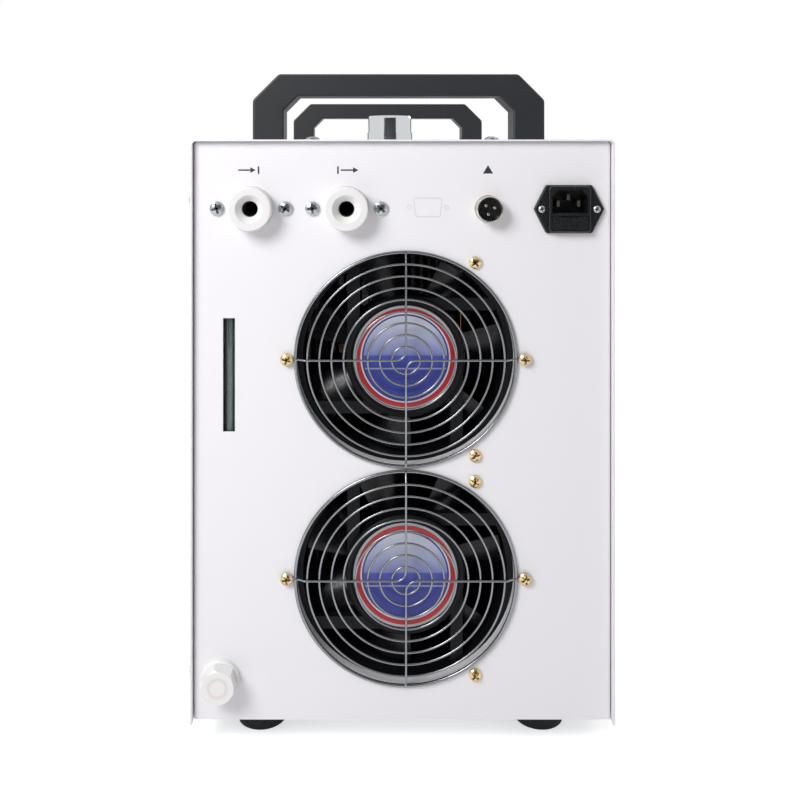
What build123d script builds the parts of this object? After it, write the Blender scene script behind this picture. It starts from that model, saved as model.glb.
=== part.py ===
"""A small recirculating water chiller, built piece by piece.

Millimetres, +Z up. The rear service panel faces -Y, the control side faces +Y, and +X is to the
right of someone who looks at the rear panel. The origin is at the middle of the bottom.
"""
import os
from math import cos, radians, sin, sqrt

from build123d import *

# Casing of folded sheet
SHEET = 1.2
BODY_W = 290.0
BODY_D = 550.0
BODY_H = 398.0
BEND_R = 2.4
COVER_DROP = 1.7
PANEL_INSET = 4.0
PANEL_GAP = 0.5
PANEL_FLANGE = 14.0
PAN_SHEET = 1.5
PAN_FLANGE = 13.0
FIT_GAP = 0.3
HOLE_GAP = 0.15
FOOT_H = 20.5

# Intake slots in both sides of the cover
SLOT_L = 46.0
SLOT_W = 4.5
SLOT_PITCH = 10.5
SLOT_ROWS = 22
SLOT_COLUMNS = 3
SLOT_COLUMN_PITCH = 54.0
SLOTS_FROM_REAR = 206.0
SLOTS_MID_H = 205.0

# Carrying handles
HANDLE_FROM_SIDE = 32.75
HANDLE_H = 52.0
HANDLE_T = 29.0
HANDLE_LEG = 24.0
HANDLE_BAR = 17.0
HANDLE_CHAMFER = 20.0
HANDLE_INNER_CHAMFER = 11.0
HANDLE_EDGE_R = 1.6
HANDLE_FROM_END = 90.0
HANDLE_SCREW_R = 2.5
HANDLE_SCREW_DEPTH = 16.0

# Feet
FOOT_TOP_R = 19.5
FOOT_BOTTOM_R = 17.5
FOOT_LIP = 3.0
FOOT_FROM_SIDE = 44.7
FOOT_FROM_END = 42.0
FOOT_POCKET_R = 7.0
FOOT_POCKET_H = 9.0

# Small screws: head radius, head height, shank radius, shank length
COVER_SCREW = (4.8, 2.4, 1.9, 7.0)
FITTING_SCREW = (4.85, 3.0, 2.0, 7.0)
FAN_SCREW = (4.25, 3.3, 2.0, 8.5)
SOCKET_SCREW = (2.4, 1.5, 1.4, 6.0)
FOOT_SCREW = (4.6, 3.2, 2.4, 15.5)
HANDLE_SCREW = (4.8, 3.0, 2.5, 14.0)
COVER_SCREW_IN = 10.0
SIDE_SCREW_HEIGHTS = (31.5, 356.0)
TOP_SCREW_X = 62.0

# Fans: places on the rear panel, frame, hub, struts and impeller
FAN_X = 2.3
FAN_HEIGHTS = (97.4, 247.5)
FAN_NAMES = ("lower", "upper")
FAN_OPENING_W = 150.0
FAN_OPENING_H = 144.6
FAN_RIM = 7.0
FAN_R = 86.0
FAN_H = 150.0
FAN_T = 51.0
FAN_FLANGE_T = 5.0
FAN_DUCT_R = 80.0
FAN_THROAT_R = 71.0
FAN_HOLE_R = 81.6
FAN_HOLE_ANGLES = (0.0, 54.3, 125.7, 180.0, 234.3, 305.7)
FAN_SCREW_ANGLES = (0.0, 54.3, 180.0, 305.7)
HUB_R = 41.2
HUB_BACK = 14.5
HUB_SET = 1.6
HUB_LIP = 3.2
HUB_DISH = 1.2
HUB_WALL = 2.5
STRUT_W = 8.5
STRUT_FRONT = 8.4
HUB_CORE_R = 30.0
ROTOR_R = 39.5
ROTOR_WALL = 3.0
ROTOR_SET = 2.0
ROTOR_GAP = 1.2
BLADE_COUNT = 7
BLADE_TIP_GAP = 1.6
BLADE_T = 1.8
BLADE_ROOT = (36.0, 33.0, 42.0)
BLADE_MID = (54.0, 41.0, 33.0)
BLADE_END = (74.0, 50.0, 27.0)
BLADE_CAMBER = 4.0
SHAFT_R = 4.0
SHAFT_SET = 7.0
RUNNING_GAP = 0.05
LABEL_R = 36.0
LABEL_T = 0.3

# Wire guards
GUARD_RINGS = 9
GUARD_FIRST_R = 9.3
GUARD_LAST_R = 73.4
GUARD_WIDEN = 1.03
GUARD_WIRE_R = 0.75
GUARD_RIM_R = 1.2
GUARD_STAND = 4.2
GUARD_WELD = 0.35
GUARD_BEND_R = 7.0
GUARD_EYE_R = 2.85

# Water inlet and outlet fittings
FITTING_X = (-103.7, -38.2)
FITTING_H = 350.8
FITTING_R = 15.0
FITTING_REACH = 12.0
FITTING_BORE_R = 5.3
FITTING_MOUTH_R = 9.65
FITTING_MOUTH_DEPTH = 5.0
FITTING_BASE_T = 5.0
FITTING_EDGE_R = 1.2
FITTING_SCREW_X = 23.5

# Hoses and the spigots that they push onto
HOSE_R = 8.0
HOSE_BORE_R = 6.0
SPIGOT_L = 18.0
SPIGOT_WALL = 1.3
LEVEL_HOSE_R = 4.6
LEVEL_BORE_R = 3.0
SUPPLY_RISE = 47.0
SUPPLY_BACK = 54.0
HOSE_BEND_R = 22.0
RETURN_BEND_R = 40.0
RETURN_RUN = (90.0, 45.0)
PUMP_HOSE_BACK = 66.0
DRAIN_HOSE_BACK = 45.0
DRAIN_HOSE_SLOPE = (40.0, 66.0)
LEVEL_BEND_R = 30.0
LEVEL_RUN = (110.0, 50.0)

# Alarm connector
PLUG_X = 58.8
PLUG_H = 350.7
PLUG_R = 9.4
PLUG_REACH = 10.0
PLUG_MOUTH_R = 7.8
PLUG_MOUTH_FLOOR = 1.0
PLUG_BORE_R = 6.9
PLUG_NECK_R = 7.9
PLUG_DEPTH = 12.0
PLUG_PIN_R = 1.0
PLUG_PIN_CIRCLE = 3.5
PLUG_PIN_L = 6.0
PLUG_PIN_TAIL = 4.0
PLUG_NUT_T = 3.0
PLUG_NUT_WALL = 2.5
PLUG_PIN_ANGLES = (16.0, 136.0, 256.0)
PLUG_KEY_ANGLE = -48.0
PLUG_KEY_W = 2.2
PLUG_KEY_T = 0.9
PLUG_INSERT_SET = 7.0

# Blanked port outline
BLANK_X = 17.7
BLANK_H = 351.5
BLANK_TOP_W = 20.0
BLANK_BOTTOM_W = 16.4
BLANK_TALL = 12.8
BLANK_LINE = 0.6
BLANK_DEPTH = 0.3
BLANK_HOLE_R = 1.4
BLANK_HOLE_X = 12.8

# Mains inlet with its fuse drawer
SOCKET_FROM_SIDE = 31.0
SOCKET_H = 350.4
SOCKET_TIP_W = 48.2
SOCKET_FLAT_W = 31.6
SOCKET_TALL = 33.0
SOCKET_FLANGE_T = 3.0
SOCKET_BEZEL_W = 28.6
SOCKET_BEZEL_H = 31.4
SOCKET_BEZEL_T = 2.6
SOCKET_BODY_W = 27.0
SOCKET_BODY_H = 28.6
SOCKET_BODY_L = 26.0
SOCKET_SCREW_X = 18.8
SOCKET_EDGE = 0.8
RECESS_W = 24.4
RECESS_H = 15.8
RECESS_UP = 5.4
RECESS_DEPTH = 18.0
RECESS_CHAMFER = 4.5
BLADE_W = 2.0
BLADE_TALL = 4.0
BLADE_SET = 5.5
BLADE_TAIL = 8.0
BLADE_SIDE_X = 7.0
BLADE_SIDE_UP = 3.6
BLADE_TOP_UP = 8.0
DRAWER_W = 24.6
DRAWER_H = 9.0
DRAWER_DOWN = 9.4
DRAWER_L = 24.0
DRAWER_GAP = 0.3
DRAWER_LIP = 1.2
FUSE_R = 2.6
FUSE_L = 20.0
FUSE_X = 5.6
FUSE_SET = 2.4

# Level sight
SIGHT_FROM_SIDE = 26.0
SIGHT_SLOT_W = 8.2
SIGHT_SLOT_H = 78.0
SIGHT_MID_H = 236.5
SIGHT_TUBE_R = 5.0
SIGHT_TUBE_BORE_R = 3.4
SIGHT_TUBE_SET = 1.0
SIGHT_ELBOW = 14.0
SIGHT_PAST_SLOT = 8.0
SIGHT_TUBE_LAP = 4.0

# Drain
DRAIN_FROM_SIDE = 20.4
DRAIN_H = 29.4
DRAIN_FLANGE_R = 13.0
DRAIN_FLANGE_T = 4.5
DRAIN_NECK_R = 7.6
DRAIN_BORE_R = 4.0
DRAIN_SPIGOT = 6.0
DRAIN_SHOULDER = 4.0
DRAIN_NUT_AF = 22.0
DRAIN_NUT_T = 6.0
DRAIN_CAP_AF = 21.6
DRAIN_CAP_L = 9.5
DRAIN_CAP_WALL = 3.0
DRAIN_CAP_TURN = -16.0
DRAIN_CAP_CHAMFER = 1.6

# Filler
FILLER_FROM_REAR = 350.0
FILLER_CAP_R = 23.5
FILLER_CAP_H = 18.0
FILLER_CAP_WALL = 3.0
FILLER_COLLAR_R = 24.5
FILLER_COLLAR_H = 14.6
FILLER_NECK_R = 20.0
FILLER_BORE_R = 16.0
FILLER_SPIGOT_R = 19.0
GASKET_T = 2.5
FILLER_SPIGOT_H = FILLER_CAP_H - FILLER_CAP_WALL - GASKET_T

# Tank, its lid and shelf
TANK_FROM_LEG = 12.0
TANK_D = 190.0
TANK_H = 162.0
TANK_WALL = 2.0
TANK_R = 12.0
LID_T = 3.0
LID_LAP = 5.0
LID_COLLAR_T = 6.0
LID_COLLAR_H = 4.0
SHELF_T = 2.0
SHELF_H = 193.0
SHELF_FROM_SIDE = 25.0
SHELF_MARGIN = 6.0
TANK_PORT_UP = 15.0
TANK_RETURN_UP = 146.0
TANK_LEVEL_UP = 122.0
RETURN_PORT_IN = 20.0
DRAIN_PORT_IN = 38.0
LEVEL_PORT_IN = 11.0
PUMP_PORT_X = 12.0

# Evaporator coil
COIL_TUBE_R = 4.75
COIL_RUNS = 6
COIL_PITCH = 20.0
COIL_SIDE_ROOM = 28.0
COIL_TOP_UP = 142.0
COIL_Y_STEP = 60.0
COIL_OUT_X = -45.0

# Condenser and fan shroud
SHROUD_T = 1.0
SHROUD_ROOM = 2.0
PLENUM = 12.0
CORE_T = 44.0
CORE_W = 176.0
CORE_RAIL = 4.0
FIN_T = 1.2
FIN_COUNT = 28
END_PLATE_T = 1.5
BEND_TUBE_R = 4.75
BEND_PITCH = 25.0
BEND_ROWS = 12
BEND_STUB = 3.0

# Compressor
COMP_X = -45.0
COMP_R = 54.0
COMP_H = 150.0
COMP_DOME = 16.0
COMP_SEAM_R = 56.0
COMP_SEAM_H = 8.0
COMP_SEAM_DOWN = 24.0
COMP_FOOT_R = 66.0
COMP_FOOT_ANGLE = 90.0
COMP_FOOT_T = 3.0
COMP_FOOT_HOLE_R = 4.5
GROMMET_R = 11.0
GROMMET_H = 12.0
GROMMET_BOLT_R = 4.0
BOLT_HEAD_R = 8.0
BOLT_HEAD_T = 2.5
BOLT_NUT_AF = 13.0
BOLT_NUT_T = 6.0
BOLT_END = 10.0
ACCUM_R = 21.0
ACCUM_H = 92.0
ACCUM_UP = 36.0
ACCUM_AWAY = 84.0
STRAP_W = 18.0
STRAP_T = 12.0
STRAP_LAP = 8.0
ELBOW_UP = 8.0
ELBOW_LAP = 6.0
STUB_H = 8.0

# Refrigerant lines
LINE_R = 4.0
LINE_BEND_R = 9.0
LINE_RISE = 11.0
LINE_TURN_X = 25.0
LINE_CROSS_FROM_REAR = 228.0
LINE_FROM_SIDE = 27.0
DRIER_R = 12.0
DRIER_L = 75.0
DRIER_FROM_SIDE = 41.0
DRIER_FROM_REAR = 194.0
DRIER_TAPER = 10.0
CAPILLARY_X = 60.0
CAPILLARY_FROM_REAR = 208.0
CAPILLARY_H = 92.0
SUCTION_BACK = 24.0
SUCTION_RISE = 22.0

# Pump
PUMP_X = 75.0
PUMP_FROM_REAR = 288.0
PUMP_AXIS_UP = 44.0
PUMP_HEAD_R = 36.0
PUMP_HEAD_L = 34.0
PUMP_MOTOR_R = 32.0
PUMP_MOTOR_L = 92.0
PUMP_FIN_COUNT = 18
PUMP_FIN_H = 3.0
PUMP_FIN_T = 2.0
PUMP_FOOT_W = 56.0
PUMP_FOOT_T = 5.0
PUMP_FOOT_IN = 14.0
PUMP_FIN_IN = 10.0
PUMP_EDGE_R = 6.0
PUMP_PORT_DEEP = 12.0

# Front controls
CONTROL_X = 0.0
CONTROL_H = 330.0
CONTROL_W = 96.0
CONTROL_TALL = 48.0
CONTROL_CUT = 3.0
CONTROL_BEZEL_T = 5.0
CONTROL_BODY_L = 58.0
WINDOW_W = 52.0
WINDOW_TALL = 26.0
WINDOW_T = 1.2
WINDOW_X = -16.0
BUTTON_NAMES = ("up_button", "down_button", "set_button")
BUTTON_X = 29.0
BUTTON_PITCH = 12.0
BUTTON_W = 18.0
BUTTON_TALL = 8.0
BUTTON_PROUD = 1.0
BUTTON_STEM = 6.0
BUTTON_TRAVEL = 0.8
SWITCH_FROM_SIDE = 45.0
SWITCH_W = 31.0
SWITCH_TALL = 25.0
SWITCH_BEZEL_T = 2.0
SWITCH_BODY_L = 24.0
ROCKER_W = 20.0
ROCKER_TALL = 17.0
ROCKER_GAP = 0.5
ROCKER_TILT = 12.0
ROCKER_PIN_R = 1.6
ROCKER_PIN_DEEP = 3.0

# Electrics
CAP_R = 20.0
CAP_H = 70.0
CAP_X = 62.0
CAP_FROM_FRONT = 55.0
CAP_RIM = 4.0
CAP_RIM_T = 3.0
CAP_TAB_X = 7.0
CAP_TAB_W = 6.0
CAP_TAB_L = 10.0
LOOM_R = 3.5
LOOM_FROM_SIDE = 19.0
LOOM_H = 366.0
LOOM_RUN = (26.0, 75.0)
LOOM_BEND_R = 18.0

# Planes and places worked out from the sizes above
REAR_REACH = DRAIN_FLANGE_T + DRAIN_CAP_L - PANEL_INSET
FRONT_REACH = max(CONTROL_BEZEL_T + BUTTON_PROUD - PANEL_INSET, 0.0)
REAR_Y = (REAR_REACH - FRONT_REACH - BODY_D) / 2
FRONT_Y = REAR_Y + BODY_D
PANEL_Y = REAR_Y + PANEL_INSET
PANEL_IN_Y = PANEL_Y + SHEET
FRONT_PANEL_Y = FRONT_Y - PANEL_INSET
FRONT_PANEL_IN_Y = FRONT_PANEL_Y - SHEET
PAN_Z = FOOT_H
FLOOR_Z = PAN_Z + PAN_SHEET
TOP_Z = FOOT_H + BODY_H
ROOF_Z = TOP_Z - SHEET
PANEL_W = BODY_W - 2 * (SHEET + PANEL_GAP)
PANEL_TOP = ROOF_Z
PAN_W = PANEL_W - 2 * (SHEET + FIT_GAP)
FILLER_Y = REAR_Y + FILLER_FROM_REAR
COMP_Y = FILLER_Y
SLOTS_MID_Y = REAR_Y + SLOTS_FROM_REAR
LINE_CROSS_Y = REAR_Y + LINE_CROSS_FROM_REAR
DRIER_Y = REAR_Y + DRIER_FROM_REAR
CAPILLARY_Y = REAR_Y + CAPILLARY_FROM_REAR
PUMP_HEAD_Y = REAR_Y + PUMP_FROM_REAR
HANDLE_W = BODY_W - 2 * HANDLE_FROM_SIDE
FOOT_X = BODY_W / 2 - FOOT_FROM_SIDE
SOCKET_X = BODY_W / 2 - SOCKET_FROM_SIDE
SIGHT_X = SIGHT_FROM_SIDE - BODY_W / 2
DRAIN_X = DRAIN_FROM_SIDE - BODY_W / 2
LINE_SIDE_X = BODY_W / 2 - LINE_FROM_SIDE
DRIER_X = BODY_W / 2 - DRIER_FROM_SIDE
SWITCH_X = BODY_W / 2 - SWITCH_FROM_SIDE
LOOM_X = BODY_W / 2 - LOOM_FROM_SIDE
SHELF_LEG_X = BODY_W / 2 - SHELF_FROM_SIDE
TANK_W = 2 * (SHELF_LEG_X - TANK_FROM_LEG)
RETURN_PORT_X = RETURN_PORT_IN - TANK_W / 2
DRAIN_PORT_X = DRAIN_PORT_IN - TANK_W / 2
LEVEL_PORT_X = LEVEL_PORT_IN - TANK_W / 2
COIL_W = TANK_W - 2 * COIL_SIDE_ROOM
SHELF_Z = PAN_Z + SHELF_H
TANK_Z = SHELF_Z + SHELF_T
TANK_TOP = TANK_Z + TANK_H
TANK_REAR_Y = FILLER_Y - TANK_D / 2
FAN_CENTRES = [PAN_Z + h for h in FAN_HEIGHTS]
CORE_Y = PANEL_IN_Y + FAN_T + PLENUM
CORE_MID_Y = CORE_Y + CORE_T / 2
CORE_BOTTOM = FAN_CENTRES[0] - FAN_H / 2
CORE_TOP = FAN_CENTRES[1] + FAN_H / 2
GUARD_STEP = (GUARD_LAST_R - GUARD_FIRST_R) / (GUARD_RINGS - 1)
CONTROL_FRONT_Y = FRONT_PANEL_Y + CONTROL_BEZEL_T
BASE = (Align.CENTER, Align.CENTER, Align.MIN)


def on_rear(x, z, y):
    """A place on the rear: local x is +X, local y is up, and its normal points out to the rear."""
    return Plane(origin=(x, y, z), x_dir=(1, 0, 0), z_dir=(0, -1, 0))


def on_front(x, z, y):
    """A place on the front: local y is up, and its normal points out to the front."""
    return Plane(origin=(x, y, z), x_dir=(-1, 0, 0), z_dir=(0, 1, 0))


def on_side(sign, y, z, x):
    """A place on a side wall, its normal pointing outwards along +X or -X."""
    return Plane(origin=(sign * x, y, z), x_dir=(0, sign, 0), z_dir=(sign, 0, 0))


def facing_down(x, y, z):
    return Plane(origin=(x, y, z), x_dir=(1, 0, 0), z_dir=(0, 0, -1))


def rod(place, radius, length, start=0.0):
    """A round bar along the normal of its place."""
    return place * Pos(0, 0, start) * Cylinder(radius, length, align=BASE)


def block(place, width, tall, length, start=0.0):
    return place * Pos(0, 0, start) * Box(width, tall, length, align=BASE)


def plate(place, sketch, thickness, start=0.0):
    """A flat outline given some thickness along the normal of its place."""
    return place * Pos(0, 0, start) * extrude(sketch, thickness)


def ring(place, outer, bore, length, start=0.0):
    return rod(place, outer, length, start) - rod(place, bore, length, start)


def hexagon(across_flats):
    return RegularPolygon(across_flats / sqrt(3), 6)


def turned(place, points):
    """A round piece from (radius, height) points of its half section."""
    return place * revolve(Plane.XZ * make_face(Polyline(*points, close=True)), Axis.Z)


def tube(points, bend, outer, bore=0.0):
    """A round tube along straight runs joined by arcs, with one bend radius or a list of them."""
    path = FilletPolyline(*points, radius=bend) if len(points) > 2 else Line(*points)
    section = Circle(outer) - Circle(bore) if bore else Circle(outer)
    return sweep(Plane(origin=path @ 0, z_dir=path % 0) * section, path=path)


def hose(points, bend, outer=HOSE_R, bore=HOSE_BORE_R):
    return tube(points, bend, outer, bore)


def screw(size, drive="cross"):
    """A screw whose head sits on its place and whose shank goes down from it."""
    head_r, head_h, shank_r, length = size
    rim = 0.35 * head_h
    outline = Polyline((0, head_h), (0, -length), (shank_r, -length), (shank_r, 0), (head_r, 0),
                       (head_r, rim))
    dome = ThreePointArc((head_r, rim), (0.72 * head_r, 0.82 * head_h), (0, head_h))
    solid = revolve(Plane.XZ * make_face([outline, dome]), Axis.Z)
    reach, slot, deep = 0.62 * head_r, 0.26 * head_r, 0.6 * head_h
    if drive == "cross":
        bar = Box(2 * reach, slot, deep)
        return solid - Pos(0, 0, head_h) * (bar + Rot(0, 0, 90) * bar)
    return solid - Pos(0, 0, head_h) * extrude(hexagon(0.9 * head_r), deep / 2, both=True)


def shank_hole(place, size, depth):
    """What the shank of a screw needs: its hole through a wall behind the place."""
    return rod(place, size[2] + HOLE_GAP, depth + 2, -depth - 1)


def folded_panel(y_face, inward):
    """A panel with flanges turned in at its left, right and top edges."""
    height = PANEL_TOP - PAN_Z
    middle = PAN_Z + height / 2
    outer = Pos(0, y_face + inward * PANEL_FLANGE / 2, middle) * Box(PANEL_W, PANEL_FLANGE, height)
    face_edges = outer.edges().filter_by_position(Axis.Y, y_face - 0.1, y_face + 0.1)
    top_corners = outer.edges().filter_by(Axis.Y).group_by(Axis.Z)[-1]
    outer = fillet(face_edges.sort_by(Axis.Z)[1:] + top_corners, BEND_R)
    inner = Box(PANEL_W - 2 * SHEET, PANEL_FLANGE, height)
    place = Pos(0, y_face + inward * (PANEL_FLANGE / 2 + SHEET), middle - SHEET)
    return outer - place * inner


def side_screw_places(y):
    """Places of the screws on the two sides and on the top, at one end of the casing."""
    places = [on_side(side, y, PAN_Z + h, BODY_W / 2) for side in (-1, 1) for h in SIDE_SCREW_HEIGHTS]
    return places + [Plane(origin=(side * TOP_SCREW_X, y, TOP_Z)) for side in (-1, 1)]


def cover_screw_places():
    return [p for y in (REAR_Y + COVER_SCREW_IN, FRONT_Y - COVER_SCREW_IN) for p in side_screw_places(y)]


def handle_screw_places():
    """Where each handle leg is screwed from below, on the underside of the cover."""
    x = HANDLE_W / 2 - HANDLE_LEG / 2
    ys = (REAR_Y + HANDLE_FROM_END, FRONT_Y - HANDLE_FROM_END)
    return [facing_down(side * x, y, ROOF_Z) for y in ys for side in (-1, 1)]


def foot_places():
    ys = (REAR_Y + FOOT_FROM_END, FRONT_Y - FOOT_FROM_END)
    return [facing_down(side * FOOT_X, y, PAN_Z) for y in ys for side in (-1, 1)]


def fan_screw_places(z):
    """Screw places of one fan, as (place, lies on the guard) pairs."""
    found = []
    for angle in FAN_SCREW_ANGLES:
        x = FAN_X + FAN_HOLE_R * cos(radians(angle))
        up = z + FAN_HOLE_R * sin(radians(angle))
        held = angle in (0.0, 180.0)
        found.append((on_rear(x, up, PANEL_Y - (2 * GUARD_WIRE_R if held else 0.0)), held))
    return found


def fitting_screw_places():
    return [on_rear(x + side * FITTING_SCREW_X, PAN_Z + FITTING_H, PANEL_Y)
            for x in FITTING_X for side in (-1, 1)]


def socket_screw_places():
    return [on_rear(SOCKET_X + side * SOCKET_SCREW_X, PAN_Z + SOCKET_H, PANEL_Y - SOCKET_FLANGE_T)
            for side in (-1, 1)]


def make_base_pan():
    y0, y1 = PANEL_IN_Y, FRONT_PANEL_IN_Y
    place = Plane(origin=(0, (y0 + y1) / 2, PAN_Z))
    pan = block(place, PAN_W, y1 - y0, PAN_SHEET + PAN_FLANGE)
    pan -= block(place, PAN_W - 2 * PAN_SHEET, y1 - y0 - 2 * PAN_SHEET, PAN_FLANGE + 1, PAN_SHEET)
    for foot in foot_places():
        pan -= shank_hole(foot, FOOT_SCREW, PAN_SHEET)
    for bolt in grommet_places():
        pan -= rod(bolt, GROMMET_BOLT_R + HOLE_GAP, PAN_SHEET + 2, -PAN_SHEET - 1)
    return pan


def blank_port():
    """The faint outline of a port that this version leaves closed."""
    half_top, half_bottom, half = BLANK_TOP_W / 2, BLANK_BOTTOM_W / 2, BLANK_TALL / 2
    corners = [(-half_top, half), (half_top, half), (half_bottom, -half), (-half_bottom, -half)]
    shape = make_face(Polyline(*corners, close=True))
    shape = fillet(shape.vertices(), 2 * BLANK_LINE)
    line = offset(shape, BLANK_LINE / 2) - offset(shape, -BLANK_LINE / 2)
    for side in (-1, 1):
        hole = Circle(BLANK_HOLE_R + BLANK_LINE / 2) - Circle(BLANK_HOLE_R - BLANK_LINE / 2)
        line += Pos(side * BLANK_HOLE_X, 0) * hole
    return plate(on_rear(BLANK_X, PAN_Z + BLANK_H, PANEL_Y), line, BLANK_DEPTH + 1, -BLANK_DEPTH)


def make_rear_panel():
    panel = folded_panel(PANEL_Y, 1)
    for z in FAN_CENTRES:
        place = on_rear(FAN_X, z, PANEL_Y)
        opening = Ellipse(FAN_OPENING_W / 2, FAN_OPENING_H / 2)
        wall = Ellipse(FAN_OPENING_W / 2 + SHEET, FAN_OPENING_H / 2 + SHEET)
        panel += plate(place, wall, FAN_RIM, -FAN_RIM)
        panel -= plate(place, opening, FAN_RIM + 2, -FAN_RIM - 1)
        for screw_place, _ in fan_screw_places(z):
            panel -= shank_hole(screw_place, FAN_SCREW, 2 * GUARD_WIRE_R + FAN_RIM)
    for x in FITTING_X:
        panel -= rod(on_rear(x, PAN_Z + FITTING_H, PANEL_Y), FITTING_R + HOLE_GAP, SHEET + 2, -SHEET - 1)
    for place in fitting_screw_places():
        panel -= shank_hole(place, FITTING_SCREW, SHEET)
    for place in socket_screw_places():
        panel -= shank_hole(place, SOCKET_SCREW, SOCKET_FLANGE_T + SHEET)
    plug = on_rear(PLUG_X, PAN_Z + PLUG_H, PANEL_Y)
    panel -= rod(plug, PLUG_NECK_R + HOLE_GAP, SHEET + 2, -SHEET - 1)
    socket = on_rear(SOCKET_X, PAN_Z + SOCKET_H, PANEL_Y)
    panel -= block(socket, SOCKET_BODY_W + 2 * HOLE_GAP, SOCKET_BODY_H + 2 * HOLE_GAP,
                   SHEET + 2, -SHEET - 1)
    sight = on_rear(SIGHT_X, PAN_Z + SIGHT_MID_H, PANEL_Y)
    panel -= block(sight, SIGHT_SLOT_W, SIGHT_SLOT_H, SHEET + 2, -SHEET - 1)
    drain = on_rear(DRAIN_X, PAN_Z + DRAIN_H, PANEL_Y)
    panel -= rod(drain, DRAIN_NECK_R + HOLE_GAP, SHEET + 2, -SHEET - 1)
    for place in side_screw_places(REAR_Y + COVER_SCREW_IN):
        panel -= shank_hole(place, COVER_SCREW, 2 * SHEET + PANEL_GAP)
    return panel - blank_port()


def make_front_panel():
    panel = folded_panel(FRONT_PANEL_Y, -1)
    control = on_front(CONTROL_X, PAN_Z + CONTROL_H, FRONT_PANEL_Y)
    panel -= block(control, control_body_w() + 2 * FIT_GAP, control_body_h() + 2 * FIT_GAP,
                   SHEET + 2, -SHEET - 1)
    panel -= block(switch_place(), switch_body_w() + 2 * FIT_GAP, switch_body_h() + 2 * FIT_GAP,
                   SHEET + 2, -SHEET - 1)
    for place in side_screw_places(FRONT_Y - COVER_SCREW_IN):
        panel -= shank_hole(place, COVER_SCREW, 2 * SHEET + PANEL_GAP)
    return panel


def make_cover():
    """One sheet folded over both sides and the top, with rows of intake slots in the sides."""
    bottom = PAN_Z - COVER_DROP
    tall = TOP_Z - bottom
    outline = Pos(0, bottom + tall / 2) * Rectangle(BODY_W, tall)
    outline = fillet(outline.vertices().sort_by(Axis.Y)[-2:], BEND_R + SHEET)
    hollow = Pos(0, bottom + tall / 2 - SHEET) * Rectangle(BODY_W - 2 * SHEET, tall)
    hollow = fillet(hollow.vertices().sort_by(Axis.Y)[-2:], BEND_R)
    cover = plate(on_rear(0, 0, FRONT_Y), outline - hollow, BODY_D)
    slots = Sketch()
    slot = SlotOverall(SLOT_L, SLOT_W)
    for column in range(SLOT_COLUMNS):
        for row in range(SLOT_ROWS):
            x = (column - (SLOT_COLUMNS - 1) / 2) * SLOT_COLUMN_PITCH
            slots += Pos(x, (row - (SLOT_ROWS - 1) / 2) * SLOT_PITCH) * slot
    for side in (-1, 1):
        wall = on_side(side, SLOTS_MID_Y, PAN_Z + SLOTS_MID_H, BODY_W / 2)
        cover -= plate(wall, slots, SHEET + 2, -SHEET - 1)
    for place in cover_screw_places():
        cover -= shank_hole(place, COVER_SCREW, SHEET)
    for place in handle_screw_places():
        cover -= rod(place, HANDLE_SCREW_R + HOLE_GAP, SHEET + 2, -SHEET - 1)
    neck = Plane(origin=(0, FILLER_Y, TOP_Z))
    return cover - rod(neck, FILLER_NECK_R + FIT_GAP, SHEET + 2, -SHEET - 1)


def make_handle(y):
    """A moulded bracket handle with chamfered shoulders."""
    w, h, c = HANDLE_W / 2, HANDLE_H, HANDLE_CHAMFER
    iw, ih, ic = w - HANDLE_LEG, h - HANDLE_BAR, HANDLE_INNER_CHAMFER
    outline = [(-w, 0), (-w, h - c), (-w + c, h), (w - c, h), (w, h - c), (w, 0)]
    outer = make_face(Polyline(*outline, close=True))
    shoulders = outer.vertices().group_by(Axis.Y)[-1] + outer.vertices().group_by(Axis.Y)[-2]
    outer = fillet(shoulders, 0.25 * HANDLE_CHAMFER)
    inner = make_face(Polyline((-iw, -1), (-iw, ih - ic), (-iw + ic, ih), (iw - ic, ih), (iw, ih - ic),
                               (iw, -1), close=True))
    bar = plate(on_rear(0, TOP_Z, y), outer - inner, HANDLE_T, -HANDLE_T / 2)
    faces = bar.faces().filter_by(Axis.Y)
    bar = fillet(faces.edges() - bar.faces().sort_by(Axis.Z)[:2].edges(), HANDLE_EDGE_R)
    deep = SHEET + HANDLE_SCREW_DEPTH
    for place in handle_screw_places():
        bar -= rod(place, HANDLE_SCREW_R + HOLE_GAP / 2, deep, -deep)
    return bar


def make_feet():
    """Rubber feet with a pocket below for the screw head."""
    bore, pocket = FOOT_SCREW[2] + HOLE_GAP, FOOT_H - FOOT_POCKET_H
    points = [(bore, 0), (FOOT_TOP_R, 0), (FOOT_TOP_R, FOOT_LIP), (FOOT_BOTTOM_R, FOOT_H),
              (FOOT_POCKET_R, FOOT_H), (FOOT_POCKET_R, pocket), (bore, pocket)]
    return [turned(place, points) for place in foot_places()]


def make_foot_screws():
    solid = screw(FOOT_SCREW, "hex")
    return [place * Pos(0, 0, FOOT_H - FOOT_POCKET_H) * solid for place in foot_places()]


def make_handle_screws():
    solid = screw(HANDLE_SCREW, "hex")
    return [place * solid for place in handle_screw_places()]


def make_cover_screws():
    solid = screw(COVER_SCREW)
    return [place * solid for place in cover_screw_places()]


def make_filler_neck():
    """A turned neck: its collar sits on the cover and its tube stands in the tank's lid."""
    top = FILLER_COLLAR_H + FILLER_SPIGOT_H
    bottom = TANK_TOP - TOP_Z
    points = [(FILLER_BORE_R, bottom), (FILLER_NECK_R, bottom), (FILLER_NECK_R, 0), (FILLER_COLLAR_R, 0),
              (FILLER_COLLAR_R, FILLER_COLLAR_H), (FILLER_SPIGOT_R, FILLER_COLLAR_H),
              (FILLER_SPIGOT_R, top), (FILLER_BORE_R, top)]
    return turned(Plane(origin=(0, FILLER_Y, TOP_Z)), points)


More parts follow.
